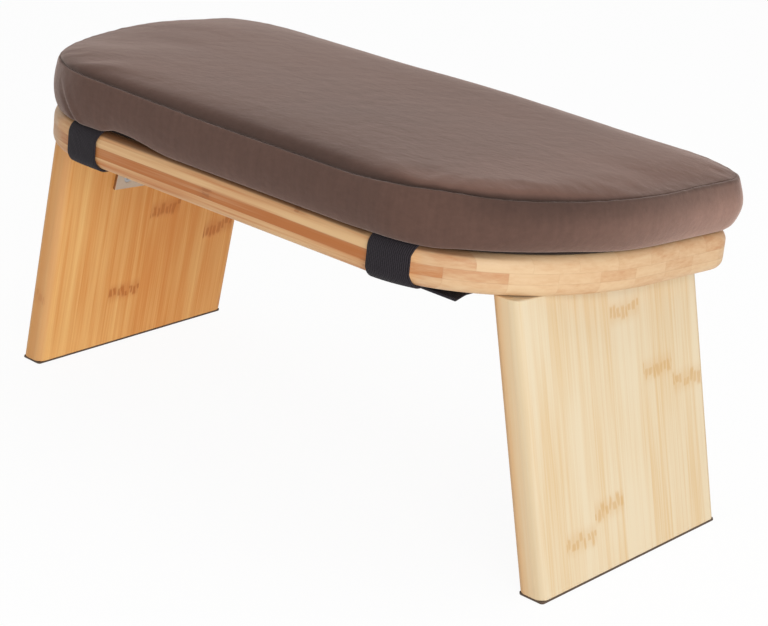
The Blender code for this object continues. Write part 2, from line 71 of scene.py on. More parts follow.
# %% [markdown]
# The camera comes first, because everything after it is judged through it. Its place, roll and lens
# were solved from the outlines of the legs, board and cushion. A camera looks along its own -Z, so its
# matrix holds the right, up and backward directions as columns.

# %% Camera
CAMERA_AZIMUTH = math.radians(43.1351)
CAMERA_ELEVATION = math.radians(21.3494)
CAMERA_ROLL = math.radians(2.9351)
CAMERA_DISTANCE = 1.54688
CAMERA_AIM = Vector((0.0, 0.0085071, 0.12))
CAMERA_SLIDE = (0.018892, -0.030955)
FOCAL_PIXELS = 2414.77
PHOTO_WIDTH = 768

backward = Vector((
    math.sin(CAMERA_AZIMUTH) * math.cos(CAMERA_ELEVATION),
    -math.cos(CAMERA_AZIMUTH) * math.cos(CAMERA_ELEVATION),
    math.sin(CAMERA_ELEVATION),
))
rightward = Vector((math.cos(CAMERA_AZIMUTH), math.sin(CAMERA_AZIMUTH), 0.0))
upward = backward.cross(rightward)
aim = CAMERA_AIM + CAMERA_SLIDE[0] * rightward + CAMERA_SLIDE[1] * upward
rolled_right = math.cos(CAMERA_ROLL) * rightward + math.sin(CAMERA_ROLL) * upward
rolled_up = math.cos(CAMERA_ROLL) * upward - math.sin(CAMERA_ROLL) * rightward
turn = Matrix((rolled_right, rolled_up, backward)).transposed().to_4x4()

camera = bpy.data.objects.new("camera", bpy.data.cameras.new("camera"))
camera.data.sensor_fit = "HORIZONTAL"
camera.data.sensor_width = 36.0
camera.data.lens = FOCAL_PIXELS * camera.data.sensor_width / PHOTO_WIDTH
camera.data.clip_start = 0.01
camera.matrix_world = Matrix.Translation(aim + CAMERA_DISTANCE * backward) @ turn
bpy.context.scene.collection.objects.link(camera)
bpy.context.scene.camera = camera
print("camera at", list(camera.matrix_world.translation), "lens", round(camera.data.lens, 1), "mm")

# %% [markdown]
# Materials here are graphs of many small nodes. A short helper that adds a node and joins its inputs
# keeps each recipe readable: numbers are set on a socket and sockets are linked to it.

# %% A helper for wiring nodes
class Wiring:
    """Adds and joins nodes in one shader tree."""

    def __init__(self, tree):
        self.tree = tree

    def node(self, kind, feeds=None, **settings):
        made = self.tree.nodes.new(kind)
        for name, value in settings.items():
            setattr(made, name, value)
        for socket, value in (feeds or {}).items():
            self.feed(made.inputs[socket], value)
        return made

    def feed(self, socket, value):
        if isinstance(value, bpy.types.NodeSocket):
            self.tree.links.new(value, socket)
        elif value is not None:
            socket.default_value = value

    def math(self, operation, first, second=None, third=None):
        feeds = {0: first, 1: second, 2: third}
        return self.node("ShaderNodeMath", feeds, operation=operation).outputs[0]

    def scaled(self, vector, factors):
        return self.node("ShaderNodeVectorMath", {0: vector, 1: factors}, operation="MULTIPLY").outputs[0]

    def shifted(self, vector, offset):
        return self.node("ShaderNodeVectorMath", {0: vector, 1: offset}, operation="ADD").outputs[0]

    def split(self, vector):
        return self.node("ShaderNodeSeparateXYZ", {0: vector}).outputs

    def join(self, x, y, z):
        return self.node("ShaderNodeCombineXYZ", {0: x, 1: y, 2: z}).outputs[0]

    def noise(self, vector, scale, detail=2.0, roughness=0.5):
        feeds = {"Vector": vector, "Scale": scale, "Detail": detail, "Roughness": roughness}
        return self.node("ShaderNodeTexNoise", feeds).outputs[0]

    def chance(self, vector):
        return self.node("ShaderNodeTexWhiteNoise", {"Vector": vector}, noise_dimensions="3D").outputs[0]

    def step(self, value, low, high, to_low=0.0, to_high=1.0):
        feeds = {"Value": value, "From Min": low, "From Max": high, "To Min": to_low, "To Max": to_high}
        return self.node("ShaderNodeMapRange", feeds, interpolation_type="SMOOTHSTEP").outputs[0]

    def blend(self, factor, first, second):
        return self.node("ShaderNodeMix", {0: factor, 2: first, 3: second}, data_type="FLOAT").outputs[0]

    def tint(self, factor, first, second, blend_type="MIX"):
        feeds = {0: factor, 6: first, 7: second}
        return self.node("ShaderNodeMix", feeds, data_type="RGBA", blend_type=blend_type).outputs[2]

    def listed(self, index, values):
        """The value that a whole number picks from a list of shares between 0 and 1."""
        place = self.math("DIVIDE", self.math("ADD", index, 0.5), float(len(values)))
        ramp = self.node("ShaderNodeValToRGB", {0: place})
        ramp.color_ramp.interpolation = "CONSTANT"
        stops = ramp.color_ramp.elements
        while len(stops) < len(values):
            stops.new(1.0)
        for number, value in enumerate(values):
            stops[number].position = number / len(values)
            stops[number].color = (value, value, value, 1.0)
        return ramp.outputs[0]

    def place(self, group, feeds):
        """Put a shared group into this tree and return its outputs by name."""
        made = self.node("ShaderNodeGroup")
        made.node_tree = group
        for name, value in feeds.items():
            self.feed(made.inputs[name], value)
        return {output.name: output for output in made.outputs}


def shared_group(name, inputs, outputs):
    """A new node group with named sockets; returns its wiring, its input sockets and its output node."""
    group = bpy.data.node_groups.new(name, "ShaderNodeTree")
    for label, kind in inputs.items():
        group.interface.new_socket(label, in_out="INPUT", socket_type=f"NodeSocket{kind}")
    for label, kind in outputs.items():
        group.interface.new_socket(label, in_out="OUTPUT", socket_type=f"NodeSocket{kind}")
    wiring = Wiring(group)
    given = wiring.node("NodeGroupInput").outputs
    result = wiring.node("NodeGroupOutput").inputs
    return group, wiring, given, result


def new_finish(name, roughness, **shader_values):
    """A material with its wiring and its Principled shader; fixed values go straight on the shader."""
    material = bpy.data.materials.new(name)
    material.use_nodes = True
    wiring = Wiring(material.node_tree)
    shader = material.node_tree.nodes["Principled BSDF"]
    shader.inputs["Roughness"].default_value = roughness
    for label, value in shader_values.items():
        shader.inputs[label.replace("_", " ").title()].default_value = value
    return material, wiring, shader


def raise_surface(wiring, shader, height, distance, strength=1.0):
    """Turn a height in 0 to 1 into a bump of so many metres."""
    feeds = {"Strength": strength, "Distance": distance, "Height": height}
    wiring.feed(shader.inputs["Normal"], wiring.node("ShaderNodeBump", feeds).outputs[0])


def colour(red, green, blue):
    """A screen colour from 0 to 255 as the linear colour that Blender works in."""
    shares = [value / 255 for value in (red, green, blue)]
    return tuple(s / 12.92 if s <= 0.04045 else ((s + 0.055) / 1.055) ** 2.4 for s in shares) + (1.0,)


print("wiring helpers ready")

# %% [markdown]
# The bench stands on a plain pale floor under soft light. The photograph has the brightest light on
# the right end, a softer one from above, and only reflected light on the long rear side. Two broad area
# lamps and a dim even sky do that. The floor and the sky look white to the camera and in reflections,
# through the Light Path node, while the floor still takes a share of the bench's shadow. From below the
# floor is clear, so that the hinges and straps under the seat can be looked at.

# %% Floor, sky and lamps
FLOOR_REACH, FLOOR_DROP = 8.0, 0.0003
FLOOR_SHADE = 0.06


def seen_directly(wiring):
    """1 where the camera looks at a surface, also by way of a reflection or through glass."""
    ray = wiring.node("ShaderNodeLightPath").outputs
    either = wiring.math("MAXIMUM", ray["Is Camera Ray"], ray["Is Glossy Ray"])
    return wiring.math("MAXIMUM", either, ray["Is Transmission Ray"])


floor_mesh = bpy.data.meshes.new("floor")
floor_signs = ((-1, -1), (1, -1), (1, 1), (-1, 1))
floor_corners = [(x * FLOOR_REACH, y * FLOOR_REACH, -FLOOR_DROP) for x, y in floor_signs]
floor_mesh.from_pydata(floor_corners, [], [(0, 1, 2, 3)])
floor = bpy.data.objects.new("floor", floor_mesh)
bpy.context.scene.collection.objects.link(floor)

floor_paper = bpy.data.materials.new("floor_paper")
floor_paper.use_nodes = True
wiring = Wiring(floor_paper.node_tree)
floor_paper.node_tree.nodes.remove(floor_paper.node_tree.nodes["Principled BSDF"])
matte = wiring.node("ShaderNodeBsdfDiffuse", {"Color": (0.92, 0.92, 0.92, 1.0)}).outputs[0]
white = wiring.node("ShaderNodeEmission", {"Color": (1.0, 1.0, 1.0, 1.0), "Strength": 1.0}).outputs[0]
share = wiring.math("MULTIPLY", seen_directly(wiring), 1.0 - FLOOR_SHADE)
paper = wiring.node("ShaderNodeMixShader", {0: share, 1: matte, 2: white}).outputs[0]
from_below = wiring.node("ShaderNodeNewGeometry").outputs["Backfacing"]
clear = wiring.node("ShaderNodeBsdfTransparent").outputs[0]
paper = wiring.node("ShaderNodeMixShader", {0: from_below, 1: paper, 2: clear}).outputs[0]
wiring.feed(floor_paper.node_tree.nodes["Material Output"].inputs["Surface"], paper)
floor_mesh.materials.append(floor_paper)

SKY_STRENGTH = 0.42
sky = bpy.data.worlds.new("studio")
sky.use_nodes = True
wiring = Wiring(sky.node_tree)
glow = sky.node_tree.nodes["Background"]
wiring.feed(glow.inputs["Color"], (1.0, 1.0, 1.0, 1.0))
wiring.feed(glow.inputs["Strength"], wiring.blend(seen_directly(wiring), SKY_STRENGTH, 1.0))
bpy.context.scene.world = sky


def soft_lamp(name, place, aim, size, power):
    """A broad square lamp that faces a point."""
    lamp = bpy.data.lights.new(name, "AREA")
    lamp.size = size
    lamp.energy = power
    piece = bpy.data.objects.new(name, lamp)
    bpy.context.scene.collection.objects.link(piece)
    piece.location = place
    piece.rotation_euler = (Vector(aim) - Vector(place)).to_track_quat("-Z", "Y").to_euler()


soft_lamp("right_window", (2.0, -1.2, 0.9), (0.0, 0.0, 0.12), 1.5, 35.0)
soft_lamp("overhead", (0.25, 0.45, 2.1), (0.0, 0.0, 0.1), 1.6, 17.5)
bpy.context.scene.view_settings.view_transform = "Standard"
print("floor", 2 * FLOOR_REACH, "m wide, two lamps, sky strength", SKY_STRENGTH)

# %% [markdown]
# Wood and cloth both need to know which way they were cut. Each mesh therefore carries a point
# attribute called lay: how far a point lies across, along and through its panel or band, in metres.
# A UV map could hold two of the three, but bamboo is a solid with grain inside it, and a rounded edge
# shows the same strips as the face beside it.

# %% Meshes that know their lay
def add_mesh(name, points, faces, lay=None, sharp_angle=40.0):
    """A new smooth mesh object from points and faces, with an optional lay for its finish."""
    mesh = bpy.data.meshes.new(name)
    mesh.from_pydata([tuple(point) for point in points], [], faces)
    mesh.validate()
    mesh.shade_smooth()
    mesh.set_sharp_from_angle(angle=math.radians(sharp_angle))
    piece = bpy.data.objects.new(name, mesh)
    bpy.context.scene.collection.objects.link(piece)
    if lay is not None:
        mark_lay(mesh, lay)
    return piece


def mark_lay(mesh, lay):
    """Store a lay for each point of a mesh."""
    attribute = mesh.attributes.new("lay", "FLOAT_VECTOR", "POINT")
    attribute.data.foreach_set("vector", np.asarray(lay, dtype=np.float32).ravel())


def lay_of(wiring):
    """The socket that reads the stored lay in a material."""
    return wiring.node("ShaderNodeAttribute", attribute_name="lay").outputs["Vector"]


def points_in(place, points):
    """Move an array of points by a matrix."""
    matrix = np.array(place)
    return np.asarray(points) @ matrix[:3, :3].T + matrix[:3, 3]


def ring_faces(ring_count, ring_size, caps=True):
    """Quads between rings of points that follow each other, and a face over each end."""
    faces = []
    for ring in range(ring_count - 1):
        low, high = ring * ring_size, (ring + 1) * ring_size
        for index in range(ring_size):
            after = (index + 1) % ring_size
            faces.append((low + index, low + after, high + after, high + index))
    if caps:
        last = (ring_count - 1) * ring_size
        faces.append(tuple(reversed(range(ring_size))))
        faces.append(tuple(range(last, last + ring_size)))
    return faces


print("mesh helpers ready")

# %% [markdown]
# The seat's plan is a D with straight edges and elliptical corners. One function walks round it and
# gives evenly spaced points with the direction that faces outwards, and the board, the cushion and its
# lining are all grown in or out from that line, as their makers would work from one template.

# %% The seat's template
BOARD_LENGTH, BOARD_DEPTH, BOARD_THICKNESS = 0.455, 0.227, 0.0245
REAR_CORNER = (0.1015, 0.141)
FRONT_CORNER = (0.0585, 0.031)
HALF_LENGTH, HALF_DEPTH = BOARD_LENGTH / 2, BOARD_DEPTH / 2


def template_corners():
    """Centre, size and start angle of the plan's corners, from the rear right anticlockwise."""
    rear_x, rear_y = HALF_LENGTH - REAR_CORNER[0], REAR_CORNER[1] - HALF_DEPTH
    front_x, front_y = HALF_LENGTH - FRONT_CORNER[0], HALF_DEPTH - FRONT_CORNER[1]
    return (
        ((rear_x, rear_y), REAR_CORNER, -90), ((front_x, front_y), FRONT_CORNER, 0),
        ((-front_x, front_y), FRONT_CORNER, 90), ((-rear_x, rear_y), REAR_CORNER, 180),
    )


def template_line(counts):
    """Points and outward directions round the plan.

    The line is cut in four at the middle of its corners, from the rear right anticlockwise, and
    counts gives the steps along the right side, the front, the left side and the rear.
    """
    points, outward, cuts = [], [], []
    for (x, y), (width, depth), start in template_corners():
        for angle in np.radians(np.linspace(start, start + 90, 121)):
            if abs(angle - math.radians(start + 45)) < 1e-9:
                cuts.append(len(points))
            points.append((x + width * math.cos(angle), y + depth * math.sin(angle)))
            outward.append((math.cos(angle) / width, math.sin(angle) / depth))
    points, outward = np.array(points), np.array(outward)
    outward /= np.linalg.norm(outward, axis=1)[:, None]
    turned_points, turned_outward = np.roll(points, -cuts[0], 0), np.roll(outward, -cuts[0], 0)
    closed_points = np.vstack([turned_points, turned_points[:1]])
    closed_outward = np.vstack([turned_outward, turned_outward[:1]])
    walked = np.concatenate([[0], np.cumsum(np.linalg.norm(np.diff(closed_points, axis=0), axis=1))])
    marks = [cut - cuts[0] for cut in cuts] + [len(points)]
    stations = [
        np.linspace(walked[marks[side]], walked[marks[side + 1]], counts[side], endpoint=False)
        for side in range(4)
    ]
    stations = np.concatenate(stations)
    even = [np.interp(stations, walked, closed_points[:, axis]) for axis in (0, 1)]
    facing = np.array([np.interp(stations, walked, closed_outward[:, axis]) for axis in (0, 1)]).T
    return np.array(even).T, facing / np.linalg.norm(facing, axis=1)[:, None]


def grown_ring(line, grow, height):
    """The template's line moved outwards and lifted."""
    points, outward = line
    return np.column_stack([points + grow * outward, np.full(len(points), height)])


SIDE_STEPS, LONG_STEPS = 46, 104
edge_line = template_line((SIDE_STEPS, LONG_STEPS, SIDE_STEPS, LONG_STEPS))
print("template:", len(edge_line[0]), "points")

# %% [markdown]
# The board is glued up from three layers of bamboo strips and its upper and lower edges are rounded
# over with a router. It is skinned as a stack of rings that follow that profile. A narrow flat ring
# inside each rounding keeps the smooth shading of the edge from leaking over the flat face.

# %% Seat board
EDGE_ROUND, FLAT_RIM = 0.007, 0.002
ROUND_STEPS = 10


def board_profile():
    """Inset and height of each ring, from the underside to the top."""
    quarter = [math.pi / 2 * step / ROUND_STEPS for step in range(ROUND_STEPS + 1)]
    lower = [(EDGE_ROUND * (1 - math.sin(a)), EDGE_ROUND * (1 - math.cos(a))) for a in quarter]
    upper = [(inset, BOARD_THICKNESS - height) for inset, height in reversed(lower)]
    flat = EDGE_ROUND + FLAT_RIM
    return [(flat, 0.0)] + lower + upper + [(flat, BOARD_THICKNESS)]


rings = [grown_ring(edge_line, -inset, height) for inset, height in board_profile()]
flat_points = np.vstack(rings)
board = add_mesh(
    "bamboo_board",
    points_in(seat_place, flat_points),
    ring_faces(len(rings), len(edge_line[0])),
    flat_points[:, [1, 0, 2]],
)
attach(board, "seat")
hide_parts("seat_board")
print("board:", len(board.data.vertices), "points")

# %% [markdown]
# Each leg is a straight panel with rounded upright edges, splayed outwards and sawn off level with
# the floor and flush with the sloping seat. It is made as the joiner makes it: a long moulded length,
# cut by two planes, with the sawn edges eased a little. Weighted normals keep the wide faces flat.

# %% Legs
LEG_SPLAY = math.radians(11.7)
LEG_RAKE = math.atan(math.tan(seat_slope) * math.cos(LEG_SPLAY))
LEG_WIDTH, LEG_THICKNESS, LEG_ROUND = 0.168, 0.019, 0.006
PANEL_START = 0.0038
PANEL_FOOT, BOARD_GAP = 0.0016, 0.0003
EASED, BLANK_REACH = 0.0007, 0.4
SIDES = {"left": -1, "right": 1}


def hinge_place(side):
    """The pin's frame: local Y along the pin and local -X towards the other leg."""
    turn = Matrix.Rotation(0.0 if side > 0 else math.pi, 4, "Z")
    return seat_place @ Matrix.Translation((side * pin_point.x, PIN_FORWARD, -PIN_DROP)) @ turn


def leg_place(side):
    """A leg panel's frame: local X through it, local Y across it and local Z up it."""
    rake = Matrix.Rotation(side * LEG_RAKE, 4, "X")
    return hinge_place(side) @ Matrix.Rotation(-LEG_SPLAY, 4, "Y") @ rake


def rounded_section(low, high, half_width, radius, steps):
    """A rounded rectangle through a panel's thickness and across its width."""
    centres = (
        (high - radius, half_width - radius, 0), (low + radius, half_width - radius, 90),
        (low + radius, radius - half_width, 180), (high - radius, radius - half_width, 270),
    )
    section = []
    for x, y, start in centres:
        for angle in np.radians(np.linspace(start, start + 90, steps + 1)):
            section.append(Vector((x + radius * math.cos(angle), y + radius * math.sin(angle), 0.0)))
    return section


def sawn_panel(name, side, section, planes, eased):
    """A panel of one section between two planes, each a point and an outward direction."""
    bm = bmesh.new()
    reach = Vector((0.0, 0.0, BLANK_REACH))
    ends = [[bm.verts.new(point + along) for point in section] for along in (-reach, reach)]
    for index in range(len(section)):
        after = (index + 1) % len(section)
        bm.faces.new((ends[0][index], ends[0][after], ends[1][after], ends[1][index]))
    place = leg_place(side)
    into_panel = place.inverted()
    for point, outward in planes:
        everything = bm.verts[:] + bm.edges[:] + bm.faces[:]
        cut_point, cut_way = into_panel @ point, into_panel.to_3x3() @ outward
        bmesh.ops.bisect_plane(
            bm, geom=everything, dist=1e-7, plane_co=cut_point, plane_no=cut_way, clear_outer=True
        )
    rims = [edge for edge in bm.edges if edge.is_boundary]
    bmesh.ops.holes_fill(bm, edges=rims, sides=0)
    bmesh.ops.bevel(bm, geom=rims, offset=eased, segments=3, profile=0.5, affect="EDGES")
    bmesh.ops.recalc_face_normals(bm, faces=bm.faces)
    mesh = bpy.data.meshes.new(name)
    bm.to_mesh(mesh)
    bm.free()
    flat_points = np.array([vertex.co for vertex in mesh.vertices])
    mesh.transform(place)
    mesh.shade_smooth()
    mark_lay(mesh, flat_points[:, [1, 2, 0]] - (0.0, 0.0, PANEL_START))
    piece = bpy.data.objects.new(name, mesh)
    bpy.context.scene.collection.objects.link(piece)
    piece.modifiers.new("flat_faces", "WEIGHTED_NORMAL")
    return settle(piece)


def settle(piece):
    """Apply a piece's modifiers for good."""
    shaped = bpy.data.meshes.new_from_object(piece.evaluated_get(bpy.context.evaluated_depsgraph_get()))
    piece.modifiers.clear()
    piece.data = shaped
    return piece


up = Vector((0.0, 0.0, 1.0))
under_board = (seat_place @ Vector((0.0, 0.0, -BOARD_GAP)), seat_place.to_3x3() @ up)
above_pad = (PANEL_FOOT * up, -up)
leg_section = rounded_section(PANEL_START, PANEL_START + LEG_THICKNESS, LEG_WIDTH / 2, LEG_ROUND, 10)
legs = {}
for label, side in SIDES.items():
    legs[label] = sawn_panel(f"{label}_bamboo_leg", side, leg_section, (under_board, above_pad), EASED)
    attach(legs[label], f"{label}_leg")
    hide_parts(f"{label}_leg")
print("legs:", {label: len(leg.data.vertices) for label, leg in legs.items()})

# %% [markdown]
# Under each leg sits a thin rubber pad, cut nearly square, so its corners peep out past the leg's rounded
# edges while its long sides stay just inside them. It is made like the leg, with its edges only just
# broken.

# %% Foot pads
PAD_THICKNESS, PAD_INSET = 0.0015, 0.0006
PAD_CORNER, PAD_EASED = 0.002, 0.0003
pad_inner, pad_outer = PANEL_START + PAD_INSET, PANEL_START + LEG_THICKNESS - PAD_INSET
pad_section = rounded_section(pad_inner, pad_outer, LEG_WIDTH / 2 - PAD_INSET, PAD_CORNER, 4)
pad_planes = ((PAD_THICKNESS * up, up), (0.0 * up, -up))
pads = {}
for label, side in SIDES.items():
    pads[label] = sawn_panel(f"{label}_rubber_pad", side, pad_section, pad_planes, PAD_EASED)
    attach(pads[label], f"{label}_leg")
    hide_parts(f"{label}_foot_pad")
print("pads:", [round(value, 4) for value in pads["right"].dimensions])

# %% [markdown]
# Bamboo boards are rows of narrow strips glued side by side, in layers. Two shared groups describe
# them. The first says which strip and layer a point is in and draws the glue lines. The second draws what
# grows inside a strip: long fibre lines, slow changes of tone, and the node where a leaf ring sat, a
# row of short dark dashes across the strip.

# %% Node groups for laminated bamboo
SIDE_LINE, LAYER_LINE = 0.014, 0.035
DASH_PITCH = 0.0036

strip_group, wiring, given, result = shared_group(
    "bamboo_strips",
    {"Lay": "Vector", "Strip Width": "Float", "Strip Start": "Float", "Core Start": "Float",
     "Core Thickness": "Float", "Layer Shift": "Float"},
    {"Strip": "Float", "Level": "Float", "Core": "Float", "Glue Line": "Float"},
)
across, _, through = wiring.split(given["Lay"])
above_core = wiring.math("SUBTRACT", through, given["Core Start"])
depth = wiring.math("DIVIDE", above_core, given["Core Thickness"])
level = wiring.math("ADD", wiring.math("FLOOR", depth), 1.0)
level = wiring.math("MINIMUM", wiring.math("MAXIMUM", level, 0.0), 2.0)
top_layer = wiring.step(level, 1.4, 1.6)
shift = wiring.math("MULTIPLY", top_layer, given["Layer Shift"])
start = wiring.math("ADD", given["Strip Start"], shift)
place = wiring.math("DIVIDE", wiring.math("SUBTRACT", across, start), given["Strip Width"])
strip = wiring.math("FLOOR", place)
to_side = wiring.math("PINGPONG", place, 0.5)
side_line = wiring.step(to_side, 0.0, SIDE_LINE, 1.0, 0.0)
from_top_line = wiring.math("ABSOLUTE", wiring.math("SUBTRACT", depth, 1.0))
to_layer = wiring.math("MINIMUM", wiring.math("ABSOLUTE", depth), from_top_line)
layer_line = wiring.step(to_layer, 0.0, LAYER_LINE, 1.0, 0.0)
core = wiring.math("MULTIPLY", wiring.step(level, 0.4, 0.6), wiring.step(level, 1.4, 1.6, 1.0, 0.0))
wiring.feed(result["Strip"], strip)
wiring.feed(result["Level"], level)
wiring.feed(result["Core"], core)
side_line = wiring.math("MULTIPLY", side_line, 0.4)
wiring.feed(result["Glue Line"], wiring.math("MAXIMUM", side_line, layer_line))

fibre_group, wiring, given, result = shared_group(
    "bamboo_fibre",
    {"Lay": "Vector", "Strip": "Float", "Level": "Float", "Tone": "Float", "Node Place": "Float",
     "Node Strength": "Float", "Grain": "Float", "Glue Line": "Float", "Pale": "Color", "Deep": "Color",
     "Node Colour": "Color"},
    {"Colour": "Color", "Roughness": "Float", "Height": "Float"},
)
across, along, through = wiring.split(given["Lay"])
apart = wiring.join(
    wiring.math("MULTIPLY", given["Strip"], 3.7), wiring.math("MULTIPLY", given["Level"], 5.3), 0.0
)
stretched = wiring.shifted(wiring.scaled(given["Lay"], (1.0, 0.016, 1.0)), apart)
streaks = wiring.noise(stretched, 230.0, 3.0, 0.55)
lines = wiring.noise(stretched, 780.0, 2.0, 0.6)
hairs = wiring.noise(wiring.scaled(stretched, (1.0, 2.0, 1.0)), 2300.0, 1.0)
slow = wiring.noise(wiring.shifted(wiring.scaled(given["Lay"], (1.0, 0.3, 1.0)), apart), 34.0, 1.0)
grain = wiring.math("MULTIPLY_ADD", streaks, 1.1, -0.55)
grain = wiring.math("ADD", grain, wiring.math("MULTIPLY_ADD", lines, 0.8, -0.4))
grain = wiring.math("ADD", grain, wiring.math("MULTIPLY_ADD", slow, 0.6, -0.3))
tone = wiring.math("MULTIPLY_ADD", grain, given["Grain"], given["Tone"])
wood = wiring.tint(wiring.step(tone, -0.15, 1.15), given["Pale"], given["Deep"])

wander = wiring.noise(wiring.scaled(given["Lay"], (1.0, 0.3, 1.0)), 260.0, 1.0)
row = wiring.math("DIVIDE", wiring.math("ADD", across, through), DASH_PITCH)
row = wiring.math("ADD", row, wiring.math("MULTIPLY", wander, 1.6))
dash_number = wiring.join(wiring.math("FLOOR", row), given["Strip"], given["Level"])
dash_height = wiring.math("MULTIPLY_ADD", wiring.chance(dash_number), 0.0056, -0.0028)
other_chance = wiring.chance(wiring.shifted(dash_number, (0.5, 0.5, 0.5)))
dash_length = wiring.math("MULTIPLY_ADD", other_chance, 0.0032, 0.0022)
above_node = wiring.math("SUBTRACT", along, given["Node Place"])
from_dash = wiring.math("ABSOLUTE", wiring.math("SUBTRACT", above_node, dash_height))
inside = wiring.math("DIVIDE", from_dash, dash_length)
dash_side = wiring.step(wiring.math("PINGPONG", row, 0.5), 0.02, 0.24)
dash = wiring.math("MULTIPLY", wiring.step(inside, 0.5, 1.3, 1.0, 0.0), dash_side)
halo = wiring.step(wiring.math("ABSOLUTE", above_node), 0.001, 0.010, 0.42, 0.0)
node_mark = wiring.math("MULTIPLY", wiring.math("MAXIMUM", dash, halo), given["Node Strength"])
wood = wiring.tint(node_mark, wood, given["Node Colour"])
wood = wiring.tint(wiring.math("MULTIPLY", given["Glue Line"], 0.22), wood, given["Node Colour"])
wiring.feed(result["Colour"], wood)
wiring.feed(result["Roughness"], wiring.math("MULTIPLY_ADD", streaks, 0.16, 0.46))
fine = wiring.math("ADD", wiring.math("MULTIPLY", lines, 0.6), wiring.math("MULTIPLY", hairs, 0.4))
groove = wiring.math("MULTIPLY", given["Glue Line"], 0.5)
wiring.feed(result["Height"], wiring.math("SUBTRACT", fine, groove))
print("groups:", strip_group.name, fibre_group.name)

# %% [markdown]
# The three panels were not cut from one board. The right leg is pale and creamy, the left leg warm
# and orange, and the seat has pale outer layers over a core whose rear strips are dark. The left leg's
# warmth and its deeper tones are partly painted light: the warm light thrown back onto its inner face in
# the shade under the seat. Each gets its own material from the same groups: its colours, where its glue
# lines fall and how far up each strip its node mark sits. A satin lacquer is left to the shader's
# roughness.

# %% Bamboo finishes
LEG_REACH, CORE_DEEPER = 0.2, 0.1
LEG_CORE_START, LEG_CORE = 0.0062, 0.0066
WOOD_RELIEF = 0.00012


def bamboo(name, colours, edges, strips, tones, node_places, node_strength, grain, painted_seat_shade):
    """A bamboo finish.

    colours are for pale wood, deep wood and node marks, edges for the rounded edge's inner side, middle
    and outer corner: partly the edge's own tone, partly painted shade that keeps the rounding from
    looking brighter than the faces beside it. strips gives the strip width, where a glue line lies and
    the number of the first strip; tones and node_places list each strip's tone and its node's place as a
    share of the
    leg. painted_seat_shade is painted shade: how much deeper the wood is made towards the seat, in its
    shadow, and paler towards the foot.
    """
    width, start, first = strips
    material, wiring, shader = new_finish(name, 0.5)
    shader.inputs["Specular IOR Level"].default_value = 0.35
    lay = lay_of(wiring)
    cut = wiring.place(strip_group, {
        "Lay": lay, "Strip Width": width, "Strip Start": start, "Core Start": LEG_CORE_START,
        "Core Thickness": LEG_CORE, "Layer Shift": 0.0,
    })
    counted = wiring.math("SUBTRACT", cut["Strip"], float(first))
    chance = wiring.chance(wiring.join(cut["Strip"], cut["Level"], 7.0))
    varied = wiring.math("MULTIPLY_ADD", chance, 0.3, -0.15)
    tone = wiring.math("ADD", wiring.listed(counted, tones), varied)
    tone = wiring.math("ADD", tone, wiring.math("MULTIPLY", cut["Core"], CORE_DEEPER))
    across, along, through = wiring.split(lay)
    # Painted shade: the wood is made deeper towards the seat, in its shadow, and paler towards the foot.
    tone = wiring.math("ADD", tone, wiring.step(along, -0.19, -0.07, -painted_seat_shade, 0.4 * painted_seat_shade))
    place = wiring.math("MULTIPLY_ADD", wiring.listed(counted, node_places), LEG_REACH, -LEG_REACH)
    pale, deep, node_colour = colours
    inner_edge, middle_edge, shaded_corner = edges
    wood = wiring.place(fibre_group, {
        "Lay": lay, "Strip": cut["Strip"], "Level": cut["Level"], "Tone": tone, "Node Place": place,
        "Node Strength": node_strength, "Grain": grain, "Glue Line": cut["Glue Line"], "Pale": pale,
        "Deep": deep, "Node Colour": node_colour,
    })
    from_middle = wiring.math("ABSOLUTE", across)
    # The rounded edges take their own colours: partly the edge's tone, partly painted shade, darkest at
    # the outer corner, so the rounding looks no brighter than the faces beside it.
    rounded_edge = wiring.step(from_middle, LEG_WIDTH / 2 - LEG_ROUND, LEG_WIDTH / 2 - 0.001, 0.0, 0.7)
    edge_tone_and_shade = wiring.tint(wiring.step(through, 0.002, 0.011), inner_edge, middle_edge)
    edge_tone_and_shade = wiring.tint(wiring.step(through, 0.012, 0.0165), edge_tone_and_shade, shaded_corner)
    wiring.feed(shader.inputs["Base Color"], wiring.tint(rounded_edge, wood["Colour"], edge_tone_and_shade))
    wiring.feed(shader.inputs["Roughness"], wood["Roughness"])
    raise_surface(wiring, shader, wood["Height"], WOOD_RELIEF, 0.5)
    return material


cream = (colour(223, 206, 175), colour(214, 182, 134), colour(200, 152, 84))
cream_edge_shades = (colour(226, 168, 104), colour(230, 200, 158), colour(206, 184, 148))
# The left leg's warm colours are partly painted light: warm light thrown back onto it in the shade under
# the seat.
amber = (colour(248, 200, 128), colour(224, 146, 70), colour(190, 106, 38))
amber_edge_shades = (colour(220, 166, 112), colour(214, 152, 90), colour(214, 152, 90))
right_tones = [0.3, 0.35, 0.25, 0.3, 0.2, 0.3, 0.4, 0.3]
left_tones = [0.6, 0.7, 0.6, 0.68, 0.72, 0.42, 0.32, 0.42]
right_nodes = [0.10, 0.0, 0.2675, 0.3275, 0.89, 0.685, 0.615, 0.40]
left_nodes = [0.20, 0.535, 0.0, 0.67, 0.365, 0.0, 0.0, 0.40]
legs["right"].data.materials.append(bamboo(
    "cream_bamboo", cream, cream_edge_shades, (0.0275, -0.0035, -4), right_tones, right_nodes, 0.55, 1.5, 0.0
))
legs["left"].data.materials.append(bamboo(
    "amber_bamboo_painted_bounce", amber, amber_edge_shades, (0.027, 0.0025, -4), left_tones, left_nodes, 0.78, 1.1, 0.2
))
print("bamboo finishes:", [m.name for m in bpy.data.materials if "bamboo" in m.name])

